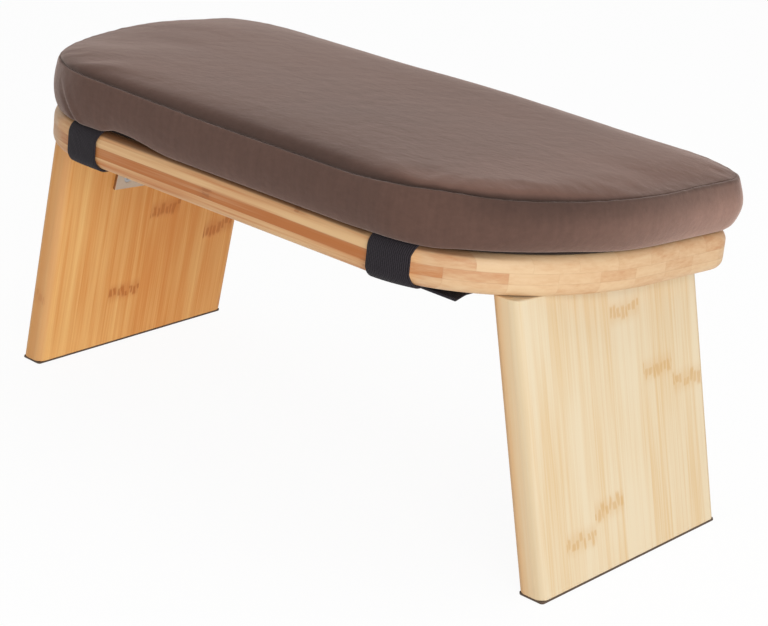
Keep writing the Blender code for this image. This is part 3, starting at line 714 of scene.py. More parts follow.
# %% [markdown]
# The board's strips run along the seat. On its straight rear edge each layer shows the long side of a
# single strip, and round the ends the strips step past like bricks. The core's two rear strips are the
# dark ones, so the core has its own list of tones, mixed in by the layer that a point lies in. The core
# is thinner than the outer layers. Round the ends the fibres are cut across and look plainer. The rear
# edge is tinted warmer. The rim along the top of the board is painted dark between the straps on the
# rear edge and past the right strap, as painted shade from the overhanging cushion.

# %% Board finish
BOARD_CORE_START, BOARD_CORE = 0.0083, 0.0064
STRIP_WIDTH, STRIP_START = 0.026, -0.0987
CORE_NODE = -0.010
REAR_WARMTH, PAINTED_RIM_SHADE = (1.09, 1.0, 0.86, 1.0), colour(92, 56, 32)

wheat = (colour(217, 185, 144), colour(180, 108, 50), colour(140, 80, 40))
board_finish, wiring, shader = new_finish("wheat_bamboo", 0.45)
lay = lay_of(wiring)
cut = wiring.place(strip_group, {
    "Lay": lay, "Strip Width": STRIP_WIDTH, "Strip Start": STRIP_START, "Core Start": BOARD_CORE_START,
    "Core Thickness": BOARD_CORE, "Layer Shift": 0.0117,
})
counted = wiring.math("ADD", cut["Strip"], 1.0)
chance = wiring.chance(wiring.join(cut["Strip"], cut["Level"], 3.0))
across, along, through = wiring.split(lay)
from_middle = wiring.math("ABSOLUTE", along)
outer_tone = wiring.listed(counted, [0.35, 0.25, 0.2, 0.25, 0.15, 0.25, 0.2, 0.3, 0.2, 0.3])
outer_tone = wiring.math("ADD", outer_tone, wiring.math("MULTIPLY_ADD", chance, 0.4, -0.2))
core_tone = wiring.listed(counted, [1.0, 0.6, 0.15, 0.25, 0.5, 0.2, 0.45, 0.25, 0.4, 0.35])
core_tone = wiring.math("MULTIPLY", core_tone, wiring.step(along, 0.11, 0.16, 1.0, 0.72))
core_tone = wiring.math("MULTIPLY", core_tone, wiring.step(along, -0.18, -0.12, 0.4, 1.0))
node_place = wiring.math("MULTIPLY_ADD", chance, 0.4, -0.2)
wood = wiring.place(fibre_group, {
    "Lay": wiring.scaled(lay, (0.3, 1.0, 1.0)), "Strip": cut["Strip"], "Level": cut["Level"],
    "Tone": wiring.blend(cut["Core"], outer_tone, core_tone),
    "Node Place": wiring.blend(cut["Core"], node_place, CORE_NODE), "Node Strength": 0.5,
    "Grain": wiring.step(from_middle, 0.12, 0.18, 1.25, 0.6), "Glue Line": cut["Glue Line"],
    "Pale": wheat[0], "Deep": wheat[1], "Node Colour": wheat[2],
})
# Painted shade from the overhanging cushion: masks for the top rim between the straps on the rear edge
# and past the right strap.
at_rear = wiring.step(across, -0.108, -0.104, 1.0, 0.0)
under_cushion = wiring.step(through, 0.0212, 0.0226)
right_of_left = wiring.step(along, -0.128, -0.118)
left_of_right = wiring.step(along, 0.118, 0.134, 0.8, 0.0)
between_straps = wiring.math("MULTIPLY", right_of_left, left_of_right)
between_straps = wiring.math("MULTIPLY", at_rear, between_straps)
past_right = wiring.step(along, 0.17, 0.215, 0.75, 0.0)
past_right = wiring.math("MULTIPLY", wiring.step(along, 0.150, 0.152), past_right)
rim_shade_mask = wiring.math("MULTIPLY", under_cushion, wiring.math("MAXIMUM", between_straps, past_right))
# The rear edge is tinted warmer, the core less than the outer layers.
rear_warm_share = wiring.math("MULTIPLY", at_rear, wiring.blend(cut["Core"], 1.0, 0.25))
rear_warmed = wiring.tint(rear_warm_share, wood["Colour"], REAR_WARMTH, "MULTIPLY")
wiring.feed(shader.inputs["Base Color"], wiring.tint(rim_shade_mask, rear_warmed, PAINTED_RIM_SHADE))
wiring.feed(shader.inputs["Roughness"], wood["Roughness"])
raise_surface(wiring, shader, wood["Height"], WOOD_RELIEF, 0.5)
board.data.materials.append(board_finish)
print("board core", round(1000 * BOARD_CORE, 2), "mm thick")

# %% [markdown]
# The cushion is a foam slab in a sewn cover. A top panel and a side band meet in a plain seam that is
# drawn into the foam, so the panel rolls up beside it and the band's upper lip catches the light. Blowing
# up a remeshed block would lose that seam, so the cover is laid out in rings along the pattern's lines,
# close together at the seam, with a net of quads over the flat middle of the top. The roll is soft along
# the rear and tight at the right rear corner. The seam was sewn a little unevenly, and at the ends the
# band is drawn in towards it. At the right end the band is drawn in under itself too.

# %% Cushion pattern
CUSHION_SHIFT, CUSHION_FOOT = 0.004, 0.0248
BAND_RINGS = (
    (-9.0, 0.4), (-4.0, 0.2), (-1.2, 0.25), (0.2, 0.9), (1.3, 2.4), (2.6, 5.0), (3.6, 9.0),
    (4.1, 13.0), (4.2, 17.0), (4.0, 21.0), (3.5, 25.0), (3.0, 28.0), (2.7, 30.0), (2.5, 31.0),
    (2.1, 31.8), (1.3, 32.2),
)
SEAM_RING = (-0.9, 31.9)
REAR_ROLL = (
    (0.9, 32.6), (1.6, 33.7), (1.5, 35.1), (0.7, 36.4), (-0.9, 37.6), (-3.2, 38.5), (-6.3, 39.1),
    (-10.0, 39.4), (-15.0, 39.5),
)
TIGHT_ROLL = (
    (0.9, 32.6), (1.7, 33.7), (1.9, 35.1), (1.6, 36.5), (0.6, 37.8), (-1.2, 38.7), (-4.0, 39.2),
    (-8.5, 39.45), (-15.0, 39.5),
)
FLAT_ROLL = (
    (0.2, 32.4), (-0.2, 32.75), (-0.9, 33.05), (-1.7, 33.4), (-2.9, 33.8), (-4.6, 34.25), (-7.0, 34.8),
    (-10.2, 35.3), (-15.0, 36.0),
)
PEAK = 0.0402
LEFT_LIFT, MIDDLE_SAG, RIGHT_LIFT = 0.0042, 0.0008, 0.0016
SEAM_RISE, SEAM_DIP, END_RISE = 0.0019, 0.0024, 0.0010
RIGHT_PULL, LEFT_PULL, UNDER_PULL = 3.2, 1.5, 5.2


def ease(value, low, high):
    """0 below low, 1 above high and smooth between them."""
    share = np.clip((np.asarray(value, dtype=float) - low) / (high - low), 0.0, 1.0)
    return share * share * (3 - 2 * share)


def rear_lift(points):
    """How far the cover's lower edge stands off the board beside the straps, or sags between them."""
    beside_left = ease(points[:, 0], -0.114, -0.100) * (1 - ease(points[:, 0], -0.092, -0.045))
    between = ease(points[:, 0], -0.114, -0.098) * (1 - ease(points[:, 0], 0.10, 0.13))
    beside_right = ease(points[:, 0], 0.160, 0.178) * (1 - ease(points[:, 1], -0.05, 0.0))
    rear = 1 - ease(points[:, 1], -0.02, 0.03)
    return (LEFT_LIFT * beside_left - MIDDLE_SAG * between + RIGHT_LIFT * beside_right) * rear


def seam_wander(points):
    """How far the seam dips and rises along the rear."""
    x, y = points.T
    dip = ease(x, -0.164, 0.006) * (1 - ease(x, 0.101, 0.141))
    rise = np.exp(-(((x - 0.166) / 0.02) ** 2))
    end_rise = ease(x, 0.19, 0.222) * ease(y, 0.0, 0.09)
    return (SEAM_RISE * rise - SEAM_DIP * dip) * (1 - ease(y, -0.06, 0.0)) + END_RISE * end_rise


def pull_at_ends(outward):
    """How far the seam is drawn in round the two ends, in mm."""
    to_right, to_front = outward.T
    rear_corner, front_corner = ease(to_right, 0.55, 0.95), ease(to_right, 0.1, 0.5)
    right_share = np.where(to_front > 0, front_corner, rear_corner)
    return RIGHT_PULL * right_share + LEFT_PULL * ease(-to_right, 0.55, 0.95)


def band_reach(outward, number, grow, height):
    """A band ring's distance from the template, less where the ends are drawn in."""
    under = UNDER_PULL * ease(outward[:, 0], 0.55, 0.95) * max(0.0, 1 - height / 19) ** 1.3
    above = pull_at_ends(outward) * max(0.0, (height - 15) / 17) ** 1.5
    return 0.001 * (np.maximum(grow - under, 0.4 * number - 9.0) - above)[:, None]


def roll_reach(outward, grow):
    """A roll ring's distance from the template: it follows the seam, less and less further in."""
    return 0.001 * (grow - pull_at_ends(outward) * (1 + grow / 15))[:, None]


def quad_net(ring, right_steps, long_steps):
    """Points of a net stretched over a ring whose four sides are right, front, left and rear."""
    cuts = np.cumsum([0, right_steps, long_steps, right_steps, long_steps])
    closed = np.vstack([ring, ring[:1]])
    right, front, left, rear = (closed[cuts[side]:cuts[side + 1] + 1] for side in range(4))
    front, left = front[::-1], left[::-1]
    u = np.linspace(0, 1, long_steps + 1)[None, :, None]
    v = np.linspace(0, 1, right_steps + 1)[:, None, None]
    ruled = (1 - v) * rear[None] + v * front[None] + (1 - u) * left[:, None] + u * right[:, None]
    corners = (1 - v) * ((1 - u) * rear[0] + u * rear[-1]) + v * ((1 - u) * front[0] + u * front[-1])
    inwards = (1 - (2 * u - 1) ** 2) * (1 - (2 * v - 1) ** 2)
    return ruled - corners, inwards[..., 0]


def cushion_points():
    """Rings from the lining up the band, over the seam and the roll, and a net over the middle."""
    points, outward = edge_line
    to_left = ease(-outward[:, 0], -0.1, 0.3)
    rear_share = 1 - ease(outward[:, 1] + 0.45 * to_left, -0.6, 0.15)
    tight_share = ease(points[:, 0], 0.10, 0.16)
    lift, wander = rear_lift(points), seam_wander(points)
    rings = []
    for number, (grow, height) in enumerate(BAND_RINGS + (SEAM_RING,)):
        ring = grown_ring(edge_line, band_reach(outward, number, grow, height), 0.001 * height)
        lifted = lift if number else np.maximum(lift, 0.0)
        ring[:, 2] += lifted * (1 - ease(height, 1.0, 20.0)) + wander * ease(height, 18.0, 31.0)
        rings.append(ring)
    for pairs in zip(REAR_ROLL, TIGHT_ROLL, FLAT_ROLL):
        soft, tight, flat = (
            grown_ring(edge_line, roll_reach(outward, grow), 0.001 * height) for grow, height in pairs
        )
        rear = soft + tight_share[:, None] * (tight - soft)
        ring = flat + rear_share[:, None] * (rear - flat)
        ring[:, 2] += wander * (1 - ease(ring[:, 2], 0.0325, 0.0385))
        rings.append(ring)
    net, inwards = quad_net(rings[-1], SIDE_STEPS, LONG_STEPS)
    net[..., 2] += (PEAK - net[..., 2]) * (1 - (1 - inwards) ** 2.5)
    return rings, net


rings, net = cushion_points()
ring_size = len(rings[0])
faces = ring_faces(len(rings), ring_size, caps=False)
rim_start = (len(rings) - 1) * ring_size
inner = net[1:-1, 1:-1]
inner_start = len(rings) * ring_size


def net_number(row, column):
    """The point's number in the mesh: the net's border is the last ring, its inside is new."""
    if 0 < row < SIDE_STEPS and 0 < column < LONG_STEPS:
        return inner_start + (row - 1) * inner.shape[1] + column - 1
    if column == LONG_STEPS and row < SIDE_STEPS:
        step = row
    elif row == SIDE_STEPS and column > 0:
        step = SIDE_STEPS + LONG_STEPS - column
    elif column == 0 and row > 0:
        step = 2 * SIDE_STEPS + LONG_STEPS - row
    else:
        step = 2 * SIDE_STEPS + LONG_STEPS + column
    return rim_start + step % ring_size


for row in range(SIDE_STEPS):
    for column in range(LONG_STEPS):
        square = ((row, column), (row, column + 1), (row + 1, column + 1), (row + 1, column))
        faces.append(tuple(net_number(*corner) for corner in square))
pattern_points = np.vstack(rings + [inner.reshape(-1, 3)])
cushion = add_mesh("cushion", pattern_points, faces, sharp_angle=180.0)
print("cushion pattern:", len(pattern_points), "points,", len(faces), "faces")

# %% [markdown]
# The cover's tone is painted with light and shade, ring by ring. Painted shade lies on the roll above the
# seam, where the sewing also presses the pile flat, on the seam, on the band below it towards the right
# end, and over the top behind its middle. Painted light brightens the tight roll at the right rear corner
# and the top towards the right end. It is tied to the pattern's rings, so each ring of points carries its
# share as an attribute, which the finish reads later.

# %% Painted light and shade on the pile
SOFT_ROLL_SHADE = (0.58, 0.64, 0.75, 0.84, 0.88, 0.90, 0.93, 0.97, 1.0)
TIGHT_ROLL_SHADING = (0.53, 0.60, 0.74, 0.95, 1.08, 1.13, 1.13, 1.12, 1.08)
END_ROLL_SHADE = (0.60, 0.66, 0.74, 0.81, 0.86, 0.89, 0.89, 0.92, 0.98)
BAND_SHADE, SEAM_SHADE = 0.4, 0.5
TOP_SHADE, TOP_LIGHT = 0.15, 0.16


def painted_pile_light():
    """A share of the full tone for each point, ring by ring and then the net: below 1 painted shade,
    above 1 painted light.
    """
    points, outward = edge_line
    to_right = ease(points[:, 0], 0.09, 0.15)
    to_end = ease(points[:, 0], 0.145, 0.225)
    at_rear = 1 - ease(outward[:, 1], -0.7, -0.1)
    shares = []
    for _, height in BAND_RINGS:
        shares.append(1 - BAND_SHADE * to_end * (1 - ease(SEAM_RING[1] - height, 0.0, 17.0)))
    shares.append(SEAM_SHADE + 0.2 * to_end)
    for soft, tight, end in zip(SOFT_ROLL_SHADE, TIGHT_ROLL_SHADING, END_ROLL_SHADE):
        shares.append(end + at_rear * (soft + to_right * (tight - soft) - end))
    shares = np.concatenate(shares + [np.ones(inner.shape[0] * inner.shape[1])])
    x, y, z = pattern_points.T
    # Painted shade darkens the top behind its middle, painted light brightens it towards the right end.
    darker = np.exp(-(((x - 0.045) / 0.09) ** 2)) * (1 - ease(y, -0.04, 0.06))
    paler = ease(x, 0.12, 0.19) * ease(z, 0.0335, 0.036)
    shares *= 1 - TOP_SHADE * darker * ease(z, 0.032, 0.036)
    return shares * (1 + TOP_LIGHT * paler)


painted_light_share = painted_pile_light()
share_attribute = cushion.data.attributes.new("painted_light_share", "FLOAT", "POINT")
share_attribute.data.foreach_set("value", painted_light_share.astype(np.float32))
print("pile share from", painted_light_share.min().round(2), "to", painted_light_share.max().round(2))

# %% [markdown]
# Now the cover is filled. Cloth with pressure inside swells between the sewn lines, which are pinned.
# How far a point may move is capped, because foam, unlike air, keeps the slab's thickness and the cover
# is sewn tight round it. Afterwards the cloth is fixed, the top panel is smoothed, because foam under it
# takes out small wrinkles, and the cover is subdivided once.

# %% Fill the cushion
SEAM = len(BAND_RINGS)
SEWN_RINGS = (0, 1, 2, SEAM - 2, SEAM - 1, SEAM, SEAM + 1)
SWELL_LIMIT = 0.0012
FILL_FRAMES = 20
SMOOTHINGS = 30


def fill(piece, sewn, limit):
    """Swell a cover by cloth simulation, with its sewn points held."""
    before = np.array([vertex.co for vertex in piece.data.vertices])
    held = piece.vertex_groups.new(name="sewn")
    held.add(sewn, 1.0, "REPLACE")
    cloth = piece.modifiers.new("fill", "CLOTH")
    cloth.settings.quality = 6
    cloth.settings.mass = 0.25
    cloth.settings.tension_stiffness = 18.0
    cloth.settings.compression_stiffness = 18.0
    cloth.settings.shear_stiffness = 8.0
    cloth.settings.bending_stiffness = 4.0
    cloth.settings.use_pressure = True
    cloth.settings.uniform_pressure_force = 3.0
    cloth.settings.effector_weights.gravity = 0.0
    cloth.settings.vertex_group_mass = held.name
    cloth.collision_settings.use_collision = False
    cloth.point_cache.frame_start = 1
    cloth.point_cache.frame_end = FILL_FRAMES
    for step in range(1, FILL_FRAMES + 1):
        bpy.context.scene.frame_set(step)
    shaped = piece.evaluated_get(bpy.context.evaluated_depsgraph_get()).data
    moved = np.array([vertex.co for vertex in shaped.vertices]) - before
    distance = np.linalg.norm(moved, axis=1)
    kept = limit * np.tanh(distance / limit) / np.maximum(distance, 1e-9)
    piece.modifiers.clear()
    piece.vertex_groups.clear()
    bpy.context.scene.frame_set(1)
    piece.data.vertices.foreach_set("co", (before + moved * kept[:, None]).astype(np.float32).ravel())
    piece.data.update()
    return distance


sewn = [ring * ring_size + index for ring in SEWN_RINGS for index in range(ring_size)]
travel = fill(cushion, sewn, SWELL_LIMIT)
most, mean = 1000 * travel.max(), 1000 * travel.mean()
print("cloth moved up to", round(most, 1), "mm, on average", round(mean, 2))
panel = cushion.vertex_groups.new(name="panel")
panel.add(list(range(inner_start, len(pattern_points))), 1.0, "REPLACE")
panel.add(list(range(rim_start, inner_start)), 0.5, "REPLACE")
calm = cushion.modifiers.new("calm", "SMOOTH")
calm.factor, calm.iterations, calm.vertex_group = 0.5, SMOOTHINGS, panel.name
finer = cushion.modifiers.new("finer", "SUBSURF")
finer.levels = 1
finer.render_levels = 1
settle(cushion)
cushion.vertex_groups.clear()
print("cushion:", len(cushion.data.vertices), "points")

# %% [markdown]
# Hands leave their mark on a cover. The left strap pulls a short fold into the band above it, the
# seam gathers into faint puckers, most of all round the ends, and the top is nowhere quite flat. The foam
# has settled at the right end and stands a little fuller at the front and at the left end. These are
# small moves of points after the filling, from a fixed noise, so that each run gives the same cushion.

# %% Folds and puckers
FOLD_FOOT, FOLD_HEAD = np.array([-0.139, 0.002]), np.array([-0.158, 0.024])
FOLD_RIDGE, FOLD_CREASE = 0.0011, 0.0017
SEAM_HEIGHT, PUCKER_DEPTH = 0.032, 0.00034
BROAD_DENTS, SMALL_DENTS = 0.00014, 0.00013
FRONT_FULLER, LEFT_FULLER, RIGHT_SETTLED = 0.0019, 0.0026, 0.0015


def fold_depth(points):
    """A pinched crease up the band at the left strap, with a ridge beside it."""
    run = FOLD_HEAD - FOLD_FOOT
    flat = points[:, [0, 2]] - FOLD_FOOT
    share = np.clip(flat @ run / (run @ run), 0.0, 1.0)
    beside = (flat[:, 0] * run[1] - flat[:, 1] * run[0]) / np.linalg.norm(run)
    fade = (1 - share) ** 0.7 * ease(flat[:, 1], -0.003, 0.002) * (points[:, 1] < -0.03)
    crease = np.exp(-((beside / 0.0022) ** 2))
    ridge = np.exp(-(((beside - 0.0052) / 0.0030) ** 2))
    return fade * (FOLD_RIDGE * ridge - FOLD_CREASE * crease)


def seam_puckers(points):
    """Short gathers on both sides of the seam, deeper round the ends."""
    from_seam = np.abs(points[:, 2] - SEAM_HEIGHT)
    at_ends = ease(np.abs(points[:, 0]), 0.11, 0.19)
    strength = np.exp(-((from_seam / 0.0045) ** 2)) * (0.35 + 0.65 * at_ends)
    ripple = [noise.noise(Vector((140 * x, 140 * y, 30 * z))) for x, y, z in points]
    return PUCKER_DEPTH * strength * np.array(ripple)


def top_unevenness(points):
    """Broad soft dents over the top panel."""
    upper = ease(points[:, 2], 0.034, 0.038)
    broad = [noise.noise(Vector((22 * x, 30 * y, 7.0))) for x, y, _ in points]
    small = [noise.noise(Vector((95 * x, 110 * y, 9.0))) for x, y, _ in points]
    return upper * (BROAD_DENTS * np.array(broad) + SMALL_DENTS * np.array(small))


def settled_foam(points):
    """How much higher or lower the cover stands where the foam is fuller or has settled."""
    x, y, z = points.T
    right_end = ease(x, 0.19, 0.23)
    front = np.exp(-(((x - 0.03) / 0.08) ** 2)) * ease(y, 0.02, 0.1)
    left_end = ease(-x, 0.13, 0.215) * np.exp(-(((y - 0.03) / 0.042) ** 2))
    rise = FRONT_FULLER * front + LEFT_FULLER * left_end
    return rise * ease(z, 0.004, 0.032) - RIGHT_SETTLED * right_end * ease(z, 0.032, 0.036)


points = np.array([vertex.co for vertex in cushion.data.vertices])
normals = np.array([vertex.normal for vertex in cushion.data.vertices])
points[:, 2] += settled_foam(points)
points += normals * (fold_depth(points) + seam_puckers(points) + top_unevenness(points))[:, None]
points += (CUSHION_SHIFT, 0.0, CUSHION_FOOT)
mark_lay(cushion.data, points[:, [1, 0, 2]])
cushion.data.vertices.foreach_set("co", points_in(seat_place, points).astype(np.float32).ravel())
cushion.data.update()
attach(cushion, "seat")
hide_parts("cushion_cover", "cushion_foam")
print("cushion from", points.min(axis=0).round(4), "to", points.max(axis=0).round(4))

# %% [markdown]
# A dark lining closes the cushion underneath. It lies on the board where nobody sees it, so it is a
# plain thin panel with a rounded rim, cut from the same template inside the turned edge of the cover.

# %% Cushion lining
LINING_RINGS = ((7.6, 0.0), (7.2, 0.2), (7.0, 0.6), (7.2, 1.0), (7.6, 1.2))
rings = [grown_ring(edge_line, -0.001 * inset, 0.001 * height) for inset, height in LINING_RINGS]
flat_points = np.vstack(rings) + (CUSHION_SHIFT, 0.0, CUSHION_FOOT)
lining = add_mesh(
    "cushion_lining",
    points_in(seat_place, flat_points),
    ring_faces(len(rings), ring_size),
    flat_points[:, [1, 0, 2]],
)
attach(lining, "seat")
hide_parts("cushion_base")
print("lining:", len(lining.data.vertices), "points")

# %% [markdown]
# Cloth, webbing, rubber and steel are never of one even tone. A shared group spreads a colour into paler
# and darker patches, so each finish only has to say how large and how strong they are. A painted picture
# could do the same, but it would blur from close by.

# %% Node group for uneven tone
tone_group, wiring, given, result = shared_group(
    "uneven_tone",
    {"Place": "Vector", "Patch Size": "Float", "Amount": "Float", "Colour": "Color"},
    {"Colour": "Color", "Patch": "Float"},
)
patch = wiring.noise(given["Place"], wiring.math("DIVIDE", 1.0, given["Patch Size"]), 3.0, 0.55)
spread = wiring.math("MULTIPLY", wiring.math("MULTIPLY_ADD", patch, 2.0, -1.0), given["Amount"])
gain = wiring.math("ADD", spread, 1.0)
wiring.feed(result["Colour"], wiring.scaled(given["Colour"], wiring.join(gain, gain, gain)))
wiring.feed(result["Patch"], patch)
print("group:", tone_group.name)

# %% [markdown]
# The cover is a short brushed pile. At the right end the band is painted paler, as painted light from
# the lamp on that side. Fine wrinkles run along the seat on the top and upright on the band, and at a low
# angle the hair tips catch the light. Drawing each hair would cost far more than it shows, so the
# shader's sheen stands for the tips and a fine bump for the nap.

# %% Pile fabric
TAUPE, LIT_TAUPE = colour(92, 68, 59), colour(150, 117, 104)

pile, wiring, shader = new_finish("taupe_pile", 0.9, sheen_weight=0.55, sheen_roughness=0.4)
shader.inputs["Sheen Tint"].default_value = colour(236, 214, 204)
shader.inputs["Specular IOR Level"].default_value = 0.2
lay = lay_of(wiring)
across, along, through = wiring.split(lay)
on_band = wiring.step(through, CUSHION_FOOT + 0.030, CUSHION_FOOT + 0.034, 1.0, 0.0)
# Painted light: the band is paler at the right end, as if lit from that side.
right_end = wiring.math("MULTIPLY", wiring.step(along, 0.14, 0.2), wiring.step(across, -0.09, 0.11))
lit_band_end = wiring.tint(wiring.math("MULTIPLY", right_end, on_band), TAUPE, LIT_TAUPE)
broad = wiring.place(tone_group, {"Place": lay, "Patch Size": 0.06, "Amount": 0.16, "Colour": lit_band_end})
brushed = wiring.scaled(lay, (1.0, 0.5, 1.0))
nap = wiring.place(tone_group, {
    "Place": brushed, "Patch Size": 0.0030, "Amount": 0.14, "Colour": broad["Colour"],
})
upright = wiring.place(tone_group, {
    "Place": wiring.scaled(lay, (1.0, 1.0, 0.12)), "Patch Size": 0.0040,
    "Amount": wiring.math("MULTIPLY", on_band, 0.16), "Colour": nap["Colour"],
})
# Painted light and shade, read from the pattern's attribute.
painted_shading = wiring.node("ShaderNodeAttribute", attribute_name="painted_light_share").outputs["Fac"]
painted_shading = wiring.math("POWER", painted_shading, 1.3)
hair = wiring.noise(lay, 2600.0, 2.0, 0.7)
toned = wiring.scaled(upright["Colour"], wiring.join(painted_shading, painted_shading, painted_shading))
wiring.feed(shader.inputs["Base Color"], toned)
wiring.feed(shader.inputs["Roughness"], wiring.math("MULTIPLY_ADD", broad["Patch"], 0.2, 0.75))
hair = wiring.math("MULTIPLY", hair, 0.25)
wrinkles = wiring.math("ADD", wiring.math("MULTIPLY", nap["Patch"], 0.8), hair)
raise_surface(wiring, shader, wrinkles, 0.0006, 0.55)
cushion.data.materials.append(pile)
print("pile colour", [round(value, 3) for value in TAUPE[:3]])

# %% [markdown]
# Webbing, tape and lining are woven. Warp threads run along the band in ribs, and each dives under every
# second weft thread, half a step later than its neighbour. The group builds that from the lay with two
# sine waves, which stays sharp at any distance and needs no picture.

# %% Node group for woven bands
weave_group, wiring, given, result = shared_group(
    "woven_threads",
    {"Lay": "Vector", "Rib Pitch": "Float", "Thread Pitch": "Float"},
    {"Height": "Float", "Gap": "Float"},
)
across, along, _ = wiring.split(given["Lay"])
rib = wiring.math("DIVIDE", across, given["Rib Pitch"])
rib_wave = wiring.math("ABSOLUTE", wiring.math("SINE", wiring.math("MULTIPLY", rib, math.pi)))
half_step = wiring.math("MULTIPLY", wiring.math("FLOOR", rib), 0.5)
pick = wiring.math("ADD", wiring.math("DIVIDE", along, given["Thread Pitch"]), half_step)
pick_wave = wiring.math("ABSOLUTE", wiring.math("SINE", wiring.math("MULTIPLY", pick, math.pi)))
height = wiring.math("MULTIPLY", rib_wave, wiring.math("MULTIPLY_ADD", pick_wave, 0.5, 0.5))
wiring.feed(result["Height"], height)
wiring.feed(result["Gap"], wiring.step(height, 0.12, 0.6, 1.0, 0.0))
print("group:", weave_group.name)

# %% [markdown]
# The straps, the tape that closes them and the cushion's lining differ only in their thread: its colour,
# its pitch and how deep its gaps are. One function therefore makes the finish of all three. The gaps are
# darkened as well as sunk, because hardly any light gets down between the threads.

# %% Woven finishes
def woven(name, thread_colour, rib_pitch, thread_pitch, depth, sheen):
    """A dark woven band whose gaps are darker than its threads."""
    material, wiring, shader = new_finish(name, 0.8, sheen_weight=sheen, sheen_roughness=0.5)
    shader.inputs["Specular IOR Level"].default_value = 0.15
    lay = lay_of(wiring)
    weave = wiring.place(weave_group, {"Lay": lay, "Rib Pitch": rib_pitch, "Thread Pitch": thread_pitch})
    tone = wiring.place(
        tone_group, {"Place": lay, "Patch Size": 0.012, "Amount": 0.22, "Colour": thread_colour}
    )
    dark = tuple(0.25 * value for value in thread_colour[:3]) + (1.0,)
    wiring.feed(shader.inputs["Base Color"], wiring.tint(weave["Gap"], tone["Colour"], dark))
    wiring.feed(shader.inputs["Roughness"], wiring.math("MULTIPLY_ADD", weave["Gap"], 0.2, 0.65))
    raise_surface(wiring, shader, weave["Height"], depth, 0.9)
    return material


webbing = woven("black_webbing", colour(46, 41, 46), 0.0013, 0.0026, 0.00045, 0.03)
lining.data.materials.append(woven("dark_lining", colour(62, 52, 47), 0.0006, 0.0006, 0.0001, 0.0))
print("woven finishes:", webbing.name, lining.data.materials[0].name)

# %% [markdown]
# Each strap is two lengths of webbing. The short one comes out of the cushion's rear seam and wraps the
# board's edge, the long one comes from the front seam and runs back under the board, past the hinge, to
# close on the short one. A strap is swept as a flat section with rounded selvedges. Every point of the
# section follows its own path, so the band bends round the curved end of the board without being sheared.
# The pull has drawn the right selvedge in where the short strap rounds the edge.

# %% Straps
STRAP_WIDTH, STRAP_THICKNESS, STRAP_GAP = 0.030, 0.0016, 0.0003
STRAP_POINTS = 13
STRAP_CENTRES = {"left": 0.058 - pin_point.x, "right": pin_point.x - 0.039}
TAIL_SKEWS = {"left": 0.003, "right": 0.0135}
TAIL_DROOPS = {"left": 0.0003, "right": 0.002}
REAR_STRAP_END = 0.068 - HALF_DEPTH
CLOSURE_END = REAR_STRAP_END - 0.030
TAIL_END = CLOSURE_END - 0.0085
CLOSURE_DEPTH = 0.0044
SELVEDGE_PULL, PULL_REACH = 0.0036, 0.009
FRONT_RUN = (
    (0.1065, STRAP_GAP), (0.0512, 0.0026), (-0.0272, 0.0026), (-0.0415, CLOSURE_DEPTH),
    (CLOSURE_END, CLOSURE_DEPTH),
)


def strap_section():
    """A flat section with round edges: place across the band and height above its middle."""
    half, round_off = STRAP_WIDTH / 2 - STRAP_THICKNESS / 2, STRAP_THICKNESS / 2
    section = []
    for sign in (1, -1):
        section += [(x, sign * round_off) for x in np.linspace(sign * half, -sign * half, STRAP_POINTS)]
        for angle in np.radians((45, 90, 135)):
            beyond, height = half + round_off * math.sin(angle), round_off * math.cos(angle)
            section.append((-sign * beyond, sign * height))
    return section


def rear_edge(x):
    """The board's rear edge at a place along the seat."""
    share = max(0.0, abs(x) - (HALF_LENGTH - REAR_CORNER[0])) / REAR_CORNER[0]
    return REAR_CORNER[1] * (1 - math.sqrt(1 - share * share)) - HALF_DEPTH


def wrapped_edge(edge_y, inward, layer):
    """Round the board's edge at one distance from the wood, from inside the cushion to the underside."""
    radius = EDGE_ROUND + layer
    middle_y = edge_y + inward * EDGE_ROUND
    upper = [(math.radians(angle), BOARD_THICKNESS - EDGE_ROUND) for angle in np.linspace(66, 0, 10)]
    lower = [(math.radians(angle), EDGE_ROUND) for angle in np.linspace(0, -90, 13)]
    turns = upper + lower
    return [(middle_y - inward * radius * math.cos(a), z + radius * math.sin(a)) for a, z in turns]


def rear_path(x, layer, centre):
    """One line of a short strap: round the rear edge and in under the board."""
    run = np.linspace(-HALF_DEPTH + EDGE_ROUND, REAR_STRAP_END, 16)
    start = rear_edge(x) + EDGE_ROUND
    flat = [(y, -layer) for y in run if y > start + 0.001][-12:]
    drawn = SELVEDGE_PULL * max(0.0, x - centre) / (STRAP_WIDTH / 2)
    path = []
    for y, z in wrapped_edge(rear_edge(x), 1, layer) + flat:
        from_middle = (z - BOARD_THICKNESS / 2) / PULL_REACH
        path.append((x - drawn * math.exp(-(from_middle ** 2)), y, z))
    return path


def tail_shift(y, skew):
    """How far the long end has wandered sideways by a place under the board."""
    start = HALF_DEPTH - EDGE_ROUND
    return skew * max(0.0, (start - y) / (start - TAIL_END))


def front_path(x, layer, skew, droop):
    """One line of a long strap: round the front edge and back under the board to its loose end."""
    run_y, run_depth = zip(*(FRONT_RUN + ((TAIL_END, CLOSURE_DEPTH + droop),)))
    places = np.linspace(run_y[0], run_y[-1], 64)[1:]
    depths = np.interp(-places, [-y for y in run_y], run_depth)
    flat = [(y, -depth - layer + STRAP_GAP) for y, depth in zip(places, depths)]
    return [(x + tail_shift(y, skew), y, z) for y, z in wrapped_edge(HALF_DEPTH, -1, layer) + flat]


